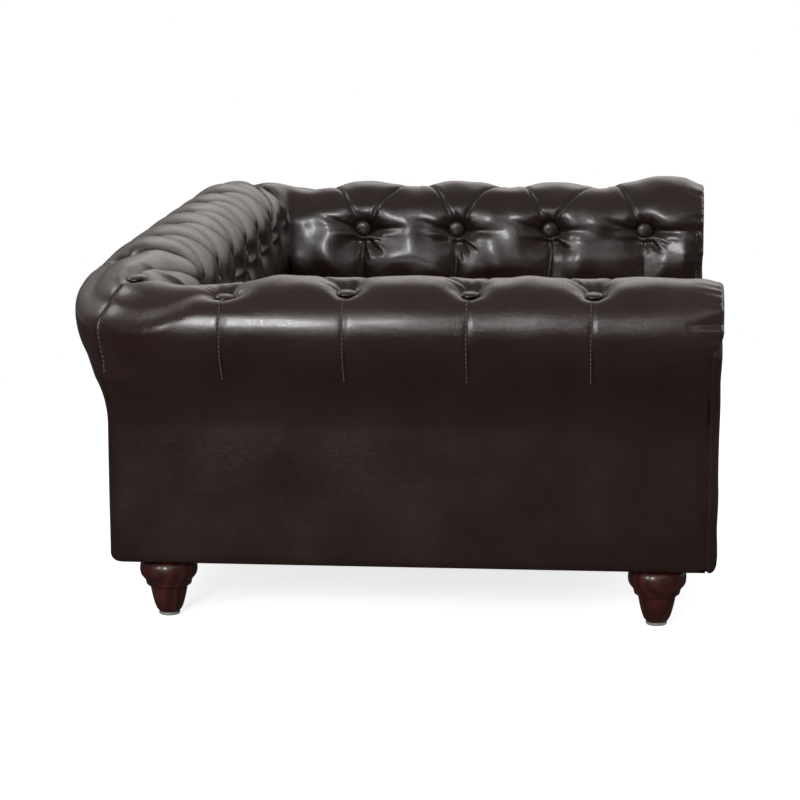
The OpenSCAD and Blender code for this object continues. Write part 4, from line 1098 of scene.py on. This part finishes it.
STAPLE_Z = 0.0548
across = [(x, y, STAPLE_Z) for x in even(-0.37, 0.37, 0.034) for y in (FRAME_FRONT + 0.013, 0.2465)]
lengthwise = [(x, y, STAPLE_Z) for y in even(-0.262, 0.225, 0.034) for x in (-0.3935, 0.3935)]
turns = [(1, 0, 0)] * len(across) + [(0, 1, 0)] * len(lengthwise)
piece = repeated("dust_cloth_staples", across + lengthwise, [(0, 0, -1)] * len(turns), turns, staple_shape(),
                 FINISH["steel"], uneven=0.05, seed=8)
settle(piece, "frame", "steel")


# ---- Feet

def foot_profile():
    """Half outline of the turned foot: tapered leg, groove, ring and flattened bead."""
    tip, neck, collar = 0.010, 0.0176, 0.0282
    low = [(tip * 0.55, 0.0031), (tip - 0.0011, 0.0031), (tip - 0.0003, 0.0034), (tip, 0.0041)]
    low += [(mix(tip, neck, (k / 12) ** 0.75), mix(0.0041, collar - 0.0010, (k / 12) ** 1.35)) for k in range(1, 13)]
    upper = [(17.7, 28.4), (18.6, 28.9), (20.2, 29.3), (21.2, 30.1), (21.6, 31.3), (21.8, 32.8), (22.3, 34.4),
             (23.4, 36.0), (24.9, 37.6), (26.2, 39.6), (27.0, 42.0), (27.3, 44.8), (27.2, 47.8), (26.6, 50.6),
             (25.4, 53.0), (23.6, 54.7), (21.0, 55.7), (17.0, 56.0), (8.0, 56.0)]
    return low + [(r / 1000, z / 1000) for r, z in upper]


for end, y in (("front", -0.2485), ("back", 0.2125)):
    for side, x in (("left", -0.378), ("right", 0.378)):
        name = "foot_" + end + "_" + side
        foot = lathe("turned_" + name, foot_profile(), 72)
        foot.data.transform(Matrix.Translation((x, y, 0)))
        settle(foot, "frame", "foot_wood", [name])


# ---- Loose seat cushion

CUSHION_HALF, CUSHION_FRONT, CUSHION_BACK = 0.352, -0.290, 0.183
CUSHION_LOW, CUSHION_H, CUSHION_WALL = 0.1263, 0.076, 0.014
CUSHION_MID_Y = (CUSHION_FRONT + CUSHION_BACK) / 2
CUSHION_HALF_Y = (CUSHION_BACK - CUSHION_FRONT) / 2
CUSHION_SEAMS = (("low", CUSHION_LOW + 0.009, 1), ("top", CUSHION_LOW + CUSHION_H - 0.009, -1))


def cushion_edge(count, inset):
    """Rounded rectangle in plan whose sides draw in between the corners, with its outward directions."""
    r, pull = 0.023, 0.004
    x, y = CUSHION_HALF - inset - r, CUSHION_HALF_Y - inset - r
    corners = [(x, y, 0), (-x, y, 90), (-x, -y, 180), (x, -y, 270)]
    pts, outs = [], []
    for k, (cx, cy, start) in enumerate(corners):
        nx, ny, _ = corners[(k + 1) % 4]
        steps = [(cx, cy, r, a) for a in np.radians(start + np.linspace(0, 90, 12))]
        steps += [(mix(cx, nx, share), mix(cy, ny, share), r - pull * 4 * share * (1 - share), math.radians(start + 90))
                  for share in np.linspace(0, 1, count)[1:-1]]
        pts += [(mx + out * math.cos(a), my + out * math.sin(a)) for mx, my, out, a in steps]
        outs += [(math.cos(a), math.sin(a)) for _, _, _, a in steps]
    return np.array(pts), np.array(outs)


def cushion_form():
    rim, _ = cushion_edge(40, 0.005)
    levels = [(0.93, 0.0), (0.985, 0.003), (1.0, 0.011), (0.997, 0.036), (1.0, 0.062), (0.985, 0.070), (0.93, 0.0735)]
    levels += [(s, 0.0735 + 0.011 * (1 - (s / 0.93) ** 2.2)) for s in np.linspace(0.86, 0.06, 13)]
    return closed_rings("seat_cushion", [[(x * scale, CUSHION_MID_Y + y * scale, CUSHION_LOW + 0.001 + z)
                                          for x, y in rim] for scale, z in levels])


def point_values(obj, kind="co"):
    values = np.empty(len(obj.data.vertices) * 3)
    obj.data.vertices.foreach_get(kind, values)
    return values.reshape(-1, 3)


def put_points(obj, co):
    obj.data.vertices.foreach_set("co", co.ravel())
    obj.data.update()


def inflate(obj, voxel, pressure, cap, frames=18):
    """Swells the cover by a short cloth simulation; no point moves further than cap."""
    remesh = obj.modifiers.new("Remesh", "REMESH")
    remesh.mode, remesh.voxel_size = "VOXEL", voxel
    apply_modifiers(obj)
    before, out = point_values(obj), point_values(obj, "normal")
    sim = obj.modifiers.new("Cloth", "CLOTH").settings
    sim.use_pressure, sim.uniform_pressure_force = True, pressure
    sim.effector_weights.gravity = 0
    sim.quality, sim.tension_stiffness, sim.bending_stiffness = 4, 18, 1.2
    for number in range(1, frames + 1):
        bpy.context.scene.frame_set(number)
    apply_modifiers(obj)
    bpy.context.scene.frame_set(1)
    move = point_values(obj) - before
    move *= np.minimum(1, cap / np.maximum(np.linalg.norm(move, axis=1), 1e-9))[:, None]
    drawn_in = np.minimum(0, np.sum(move * out, axis=1))
    move -= 0.8 * drawn_in[:, None] * out  # the foam inside holds the cover out
    put_points(obj, before + move)


def outside_foam(co, clear=0.0014):
    """Pushes points sideways out of the foam block, where the cover lies over it."""
    past_x = np.abs(co[:, 0]) - (CUSHION_HALF - CUSHION_WALL + clear)
    past_y = np.abs(co[:, 1] - CUSHION_MID_Y) - (CUSHION_HALF_Y - CUSHION_WALL + clear)
    low, high = CUSHION_LOW + CUSHION_WALL - clear, CUSHION_LOW + CUSHION_H - CUSHION_WALL + clear
    within = (co[:, 2] > low) & (co[:, 2] < high) & (past_x < 0) & (past_y < 0)
    along_x = past_x > past_y
    co[:, 0] -= np.where(within & along_x, past_x, 0) * np.sign(co[:, 0])
    co[:, 1] -= np.where(within & ~along_x, past_y, 0) * np.sign(co[:, 1] - CUSHION_MID_Y)


cushion = cushion_form()
inflate(cushion, voxel=0.007, pressure=3.2, cap=0.010)
divide = cushion.modifiers.new("Smooth", "SUBSURF")
divide.levels = divide.render_levels = 1
apply_modifiers(cushion)
co, nor = point_values(cushion), point_values(cushion, "normal")
side_gap = distance_inside(co[:, :2] - (0, CUSHION_MID_Y), cushion_edge(60, 0.0005)[0])
puckers = waves(co[:, 0], co[:, 1], 91, 0.03, 0.012, 0.0005, 18) * bell(side_gap, 0.022)
slow = waves(co[:, 0], co[:, 1], 92, 0.28, 0.09, 0.0011)
co = co + nor * (puckers + slow * (nor[:, 2:] > 0.3).ravel())[:, None]
for _, seam_z, _ in CUSHION_SEAMS:
    co -= nor * (0.0016 * (bell(co[:, 2] - seam_z, 0.003) * (side_gap < 0.02)))[:, None]
outside_foam(co)
co[:, 2] = np.maximum(co[:, 2], CUSHION_LOW)
co[:, 0] = np.clip(co[:, 0], -CUSHION_HALF, CUSHION_HALF)
co[:, 1] = np.clip(co[:, 1], CUSHION_FRONT, CUSHION_BACK)
put_points(cushion, co)
cushion.data.shade_smooth()
settle(cushion, "cushion", "cushion_cover", ["cushion_cover"])


def tube(name, centre, radius, around=10):
    """A closed loop of cord."""
    count = len(centre)
    ahead = unit(np.roll(centre, -1, 0) - np.roll(centre, 1, 0))
    up = unit(np.array([0, 0, 1.0]) - ahead * ahead[:, 2:])
    side = np.cross(ahead, up)
    verts = [centre[k] + radius * (math.cos(a) * side[k] + math.sin(a) * up[k])
             for k in range(count) for a in np.linspace(0, 2 * np.pi, around, endpoint=False)]
    faces = [face for k in range(count) for face in wall(k * around, (k + 1) % count * around, around)]
    return mesh_piece(name, verts, faces)


stitch_lines = []
for label, seam_z, way in CUSHION_SEAMS:
    pts, outs = cushion_edge(110, 0.0042)
    centre = stack(pts[:, 0], CUSHION_MID_Y + pts[:, 1],
                   seam_z + waves(pts[:, 0] * 3, pts[:, 1] * 3, 95, 0.3, 0.1, 0.0005))
    settle(tube("cushion_piping_" + label, centre, 0.0026), "cushion", "cushion_cover")
    line = centre + stack(outs[:, 0] * 0.0006, outs[:, 1] * 0.0006, way * 0.0050)
    normals = stack(outs[:, 0], outs[:, 1], 0.0)
    stitch_lines.append([np.concatenate([part, part[:1]]) for part in (line, normals)])
stitch_piece("cushion_stitches", stitch_lines, 44, 0.0050, "cushion")


# ---- Zip along the cushion's back edge

ZIP_Z, ZIP_HALF = CUSHION_LOW + CUSHION_H / 2, 0.280


def tooth_shape():
    """One zip tooth: a bar that ends in a rounded head."""
    outline = [(-0.0006, -0.0024), (0.0006, -0.0024), (0.0006, 0.0004), (0.00095, 0.0010), (0.0008, 0.0017),
               (0.0, 0.0020), (-0.0008, 0.0017), (-0.00095, 0.0010), (-0.0006, 0.0004)]
    rings = [[(x * wide, y * long, z) for x, y in outline]
             for wide, long, z in ((1, 1, 0.0), (1, 1, 0.0009), (0.8, 0.9, 0.0012))]
    return closed_rings("tooth_form", rings, smooth=False, keep=False)


points = [(x, CUSHION_BACK - 0.0002, ZIP_Z) for x in np.arange(-ZIP_HALF + 0.004, ZIP_HALF - 0.004, 0.0014)]
turns = [(1 if k % 2 else -1, 0, 0) for k in range(len(points))]
piece = repeated("zip_teeth", points, [(0, 1, 0)] * len(points), turns, tooth_shape(), FINISH["zip_metal"], seed=2)
settle(piece, "cushion", "zip_metal")


def add_bar(whole, low, high):
    """Adds a small box with rounded edges."""
    work = bmesh.new()
    bmesh.ops.create_cube(work, size=1.0)
    size, middle = Vector(high) - Vector(low), (Vector(high) + Vector(low)) / 2
    for vert in work.verts:
        vert.co = Vector([vert.co[i] * size[i] + middle[i] for i in range(3)])
    bmesh.ops.bevel(work, geom=work.edges[:], offset=0.0003, segments=3, affect="EDGES", profile=0.6)
    bar = bpy.data.meshes.new("bar")
    work.to_mesh(bar)
    work.free()
    whole.from_mesh(bar)
    bpy.data.meshes.remove(bar)


def slider_piece():
    """Slider body in two plates with its bridge, and the pull tab with a hole hanging from it."""
    x0, y0 = -0.267, CUSHION_BACK + 0.0003
    mesh, whole = bpy.data.meshes.new("zip_slider_dressed"), bmesh.new()
    bars = ((0.0065, 0.0, 0.0012, -0.0045, 0.0045), (0.0060, 0.0018, 0.0027, -0.0040, 0.0040),
            (0.0014, 0.0008, 0.0022, -0.0040, 0.0040), (0.0012, 0.0024, 0.0035, -0.0022, 0.0030))
    for half, near, far, low, high in bars:
        add_bar(whole, (x0 - half, y0 + near, ZIP_Z + low), (x0 + half, y0 + far, ZIP_Z + high))
    length, wide, hole, count = 0.0205, 0.0031, 0.0016, 40
    turns = [2 * math.pi * k / count for k in range(count)]
    power = lambda value, exponent: math.copysign(abs(value) ** exponent, value)
    rim = [(wide * power(math.cos(a), 0.6), length / 2 * power(math.sin(a), 0.5)) for a in turns]
    inner = [(hole * math.cos(a), -0.0068 + 0.0021 * math.sin(a)) for a in turns]
    add = lambda x, depth, z: whole.verts.new((x0 + x, y0 + 0.0029 - depth, ZIP_Z - 0.0105 + z))
    layers = [([add(x * grow, depth, z * grow) for x, z in rim], [add(x / grow, depth, z) for x, z in inner])
              for depth, grow in ((0.0, 0.97), (0.0003, 1.0), (0.0012, 1.0), (0.0015, 0.97))]
    for k in range(count):
        m = (k + 1) % count
        for (outer_a, inner_a), (outer_b, inner_b) in zip(layers[:-1], layers[1:]):
            whole.faces.new((outer_a[k], outer_a[m], outer_b[m], outer_b[k]))
            whole.faces.new((inner_a[m], inner_a[k], inner_b[k], inner_b[m]))
        whole.faces.new((layers[0][0][m], layers[0][0][k], layers[0][1][k], layers[0][1][m]))
        whole.faces.new((layers[-1][0][k], layers[-1][0][m], layers[-1][1][m], layers[-1][1][k]))
    bmesh.ops.recalc_face_normals(whole, faces=whole.faces)
    whole.to_mesh(mesh)
    whole.free()
    return in_scene(bpy.data.objects.new("zip_slider_dressed", mesh))


settle(slider_piece(), "slider", "zip_metal", ["zip_slider"])


# ---- Studio

def smooth_range(tree, source, from_low, from_high, low=0.0, high=1.0):
    return range_to(tree, source, low, high, from_low, from_high, "SMOOTHSTEP")


def light_paths(tree):
    """The kinds of rays, and the share that the camera sees straight."""
    rays = tree.nodes.new("ShaderNodeLightPath").outputs
    return rays, sums(tree, "MAXIMUM", rays["Is Camera Ray"], rays["Is Transmission Ray"])


def studio_floor():
    """White for the camera outside the object's shadow; a dim floor, pale far behind, for the gloss."""
    mesh = bpy.data.meshes.new("studio_floor")
    mesh.from_pydata([(-30, -30, 0), (30, -30, 0), (30, 30, 0), (-30, 30, 0)], [], [(0, 1, 2, 3)])
    floor = in_scene(bpy.data.objects.new("studio_floor", mesh))
    made = bpy.data.materials.new("White studio floor")
    made.use_nodes = True
    tree = made.node_tree
    tree.nodes.clear()
    rays, seen = light_paths(tree)
    place = tree.nodes.new("ShaderNodeTexCoord").outputs["Object"]
    base = node(tree, "ShaderNodeBsdfDiffuse", Color=(0.72, 0.72, 0.72, 1))
    lift = node(tree, "ShaderNodeEmission", {"Strength": sums(tree, "MULTIPLY", seen, 0.78)}, Color=(1, 1, 1, 1))
    near = node(tree, "ShaderNodeAddShader", {0: base.outputs[0], 1: lift.outputs[0]})
    distance = node(tree, "ShaderNodeVectorMath", {0: place}, operation="LENGTH").outputs["Value"]
    share = sums(tree, "MULTIPLY", smooth_range(tree, distance, 0.60, 1.05), seen)
    white = node(tree, "ShaderNodeEmission", Color=(1, 1, 1, 1), Strength=1.0)
    shown = node(tree, "ShaderNodeMixShader", {0: share, 1: near.outputs[0], 2: white.outputs[0]})
    parts = node(tree, "ShaderNodeSeparateXYZ", {0: place}).outputs
    in_front = smooth_range(tree, sums(tree, "MULTIPLY", parts["Y"], -1.0), 0.8, 1.8, 0.0, 0.30)
    pale = sums(tree, "MAXIMUM", smooth_range(tree, parts["X"], 1.6, 3.2, 0.045, 0.30), in_front)
    gloss = node(tree, "ShaderNodeEmission", {"Strength": pale}, Color=(1, 0.93, 0.89, 1))
    whole = node(tree, "ShaderNodeMixShader", {0: rays["Is Glossy Ray"], 1: shown.outputs[0], 2: gloss.outputs[0]})
    node(tree, "ShaderNodeOutputMaterial", {"Surface": whole.outputs[0]})
    floor.data.materials.append(made)


def studio_world():
    """White for the camera; for the gloss, a pale backdrop low down behind and a dim room elsewhere."""
    world = bpy.data.worlds.new("Studio")
    bpy.context.scene.world = world
    world.use_nodes = True
    tree = world.node_tree
    tree.nodes.clear()
    rays, seen = light_paths(tree)
    place = tree.nodes.new("ShaderNodeTexCoord").outputs["Generated"]
    x, y, z = node(tree, "ShaderNodeSeparateXYZ", {0: place}).outputs
    room = smooth_range(tree, z, 0.05, 0.60, 0.05, 0.30)
    low_down = smooth_range(tree, z, 0.03, 0.46, 0.29, 1.20)
    aside = smooth_range(tree, y, 0.08, 0.36, 1.0, 0.32)
    behind = sums(tree, "MULTIPLY", sums(tree, "MULTIPLY", smooth_range(tree, x, 0.15, 0.70), aside),
                  sums(tree, "MULTIPLY", low_down, smooth_range(tree, z, 0.66, 0.94, 1.0, 0.0)))
    diffuse = sums(tree, "MULTIPLY", rays["Is Diffuse Ray"], 0.54)
    glossy = sums(tree, "MULTIPLY", rays["Is Glossy Ray"], sums(tree, "ADD", room, behind))
    back = node(tree, "ShaderNodeBackground",
                {"Strength": sums(tree, "MAXIMUM", sums(tree, "MAXIMUM", seen, diffuse), glossy),
                 "Color": blend_colours(tree, rays["Is Glossy Ray"], (1.0, 1.0, 1.0, 1.0), (1.0, 0.93, 0.89, 1.0))})
    node(tree, "ShaderNodeOutputWorld", {"Surface": back.outputs[0]})


def soft_lamp(name, at, aim, width, height, watts):
    lamp = bpy.data.lights.new(name, "AREA")
    lamp.shape, lamp.size, lamp.size_y, lamp.energy = "ELLIPSE", width, height, watts
    obj = in_scene(bpy.data.objects.new(name, lamp))
    obj.location = at
    obj.rotation_euler = (Vector(aim) - Vector(at)).to_track_quat("-Z", "Y").to_euler()


studio_floor()
studio_world()
for lamp in (("side_softbox", (-2.35, 0.41, 0.92), (-0.3, 0.05, 0.25), 0.31, 0.60, 12),
             ("side_scrim", (-2.38, 0.50, 0.93), (-0.3, 0.05, 0.25), 0.50, 1.05, 6),
             ("corner_softbox", (-2.2, 1.35, 0.98), (0.3, 0.0, 0.25), 0.40, 0.70, 11),
             ("wide_fill", (-2.2, -0.9, 1.5), (0, 0, 0.25), 1.6, 0.8, 2.5),
             ("back_softbox", (0.35, 1.6, 1.7), (0, 0.1, 0.25), 0.9, 0.6, 5),
             ("front_fill", (0.3, -2.6, 1.2), (0, 0, 0.2), 1.2, 0.8, 10)):
    soft_lamp(*lamp)


def camera():
    """The camera fitted to the photograph; its focal length is 2684 px on the frame of 800 px."""
    yaw, pitch, roll, place = 0.088662114, 0.18754007, -0.00197032, (-2.8203, -0.22498, 0.67491)
    ahead = Vector((math.cos(yaw) * math.cos(pitch), math.sin(yaw) * math.cos(pitch), -math.sin(pitch)))
    right = ahead.cross(Vector((0, 0, 1))).normalized()
    up = right.cross(ahead)
    c, s = math.cos(roll), math.sin(roll)
    right, up = c * right + s * up, -s * right + c * up
    data = bpy.data.cameras.new("camera")
    data.sensor_width, data.lens, data.sensor_fit = 36.0, 2684.0 / 800 * 36.0, "HORIZONTAL"
    data.clip_start, data.clip_end = 0.05, 100.0
    obj = in_scene(bpy.data.objects.new("camera", data))
    obj.matrix_world = Matrix.Translation(place) @ Matrix((right, up, -ahead)).transposed().to_4x4()
    bpy.context.scene.camera = obj


camera()
bpy.context.scene.view_settings.view_transform = "Standard"
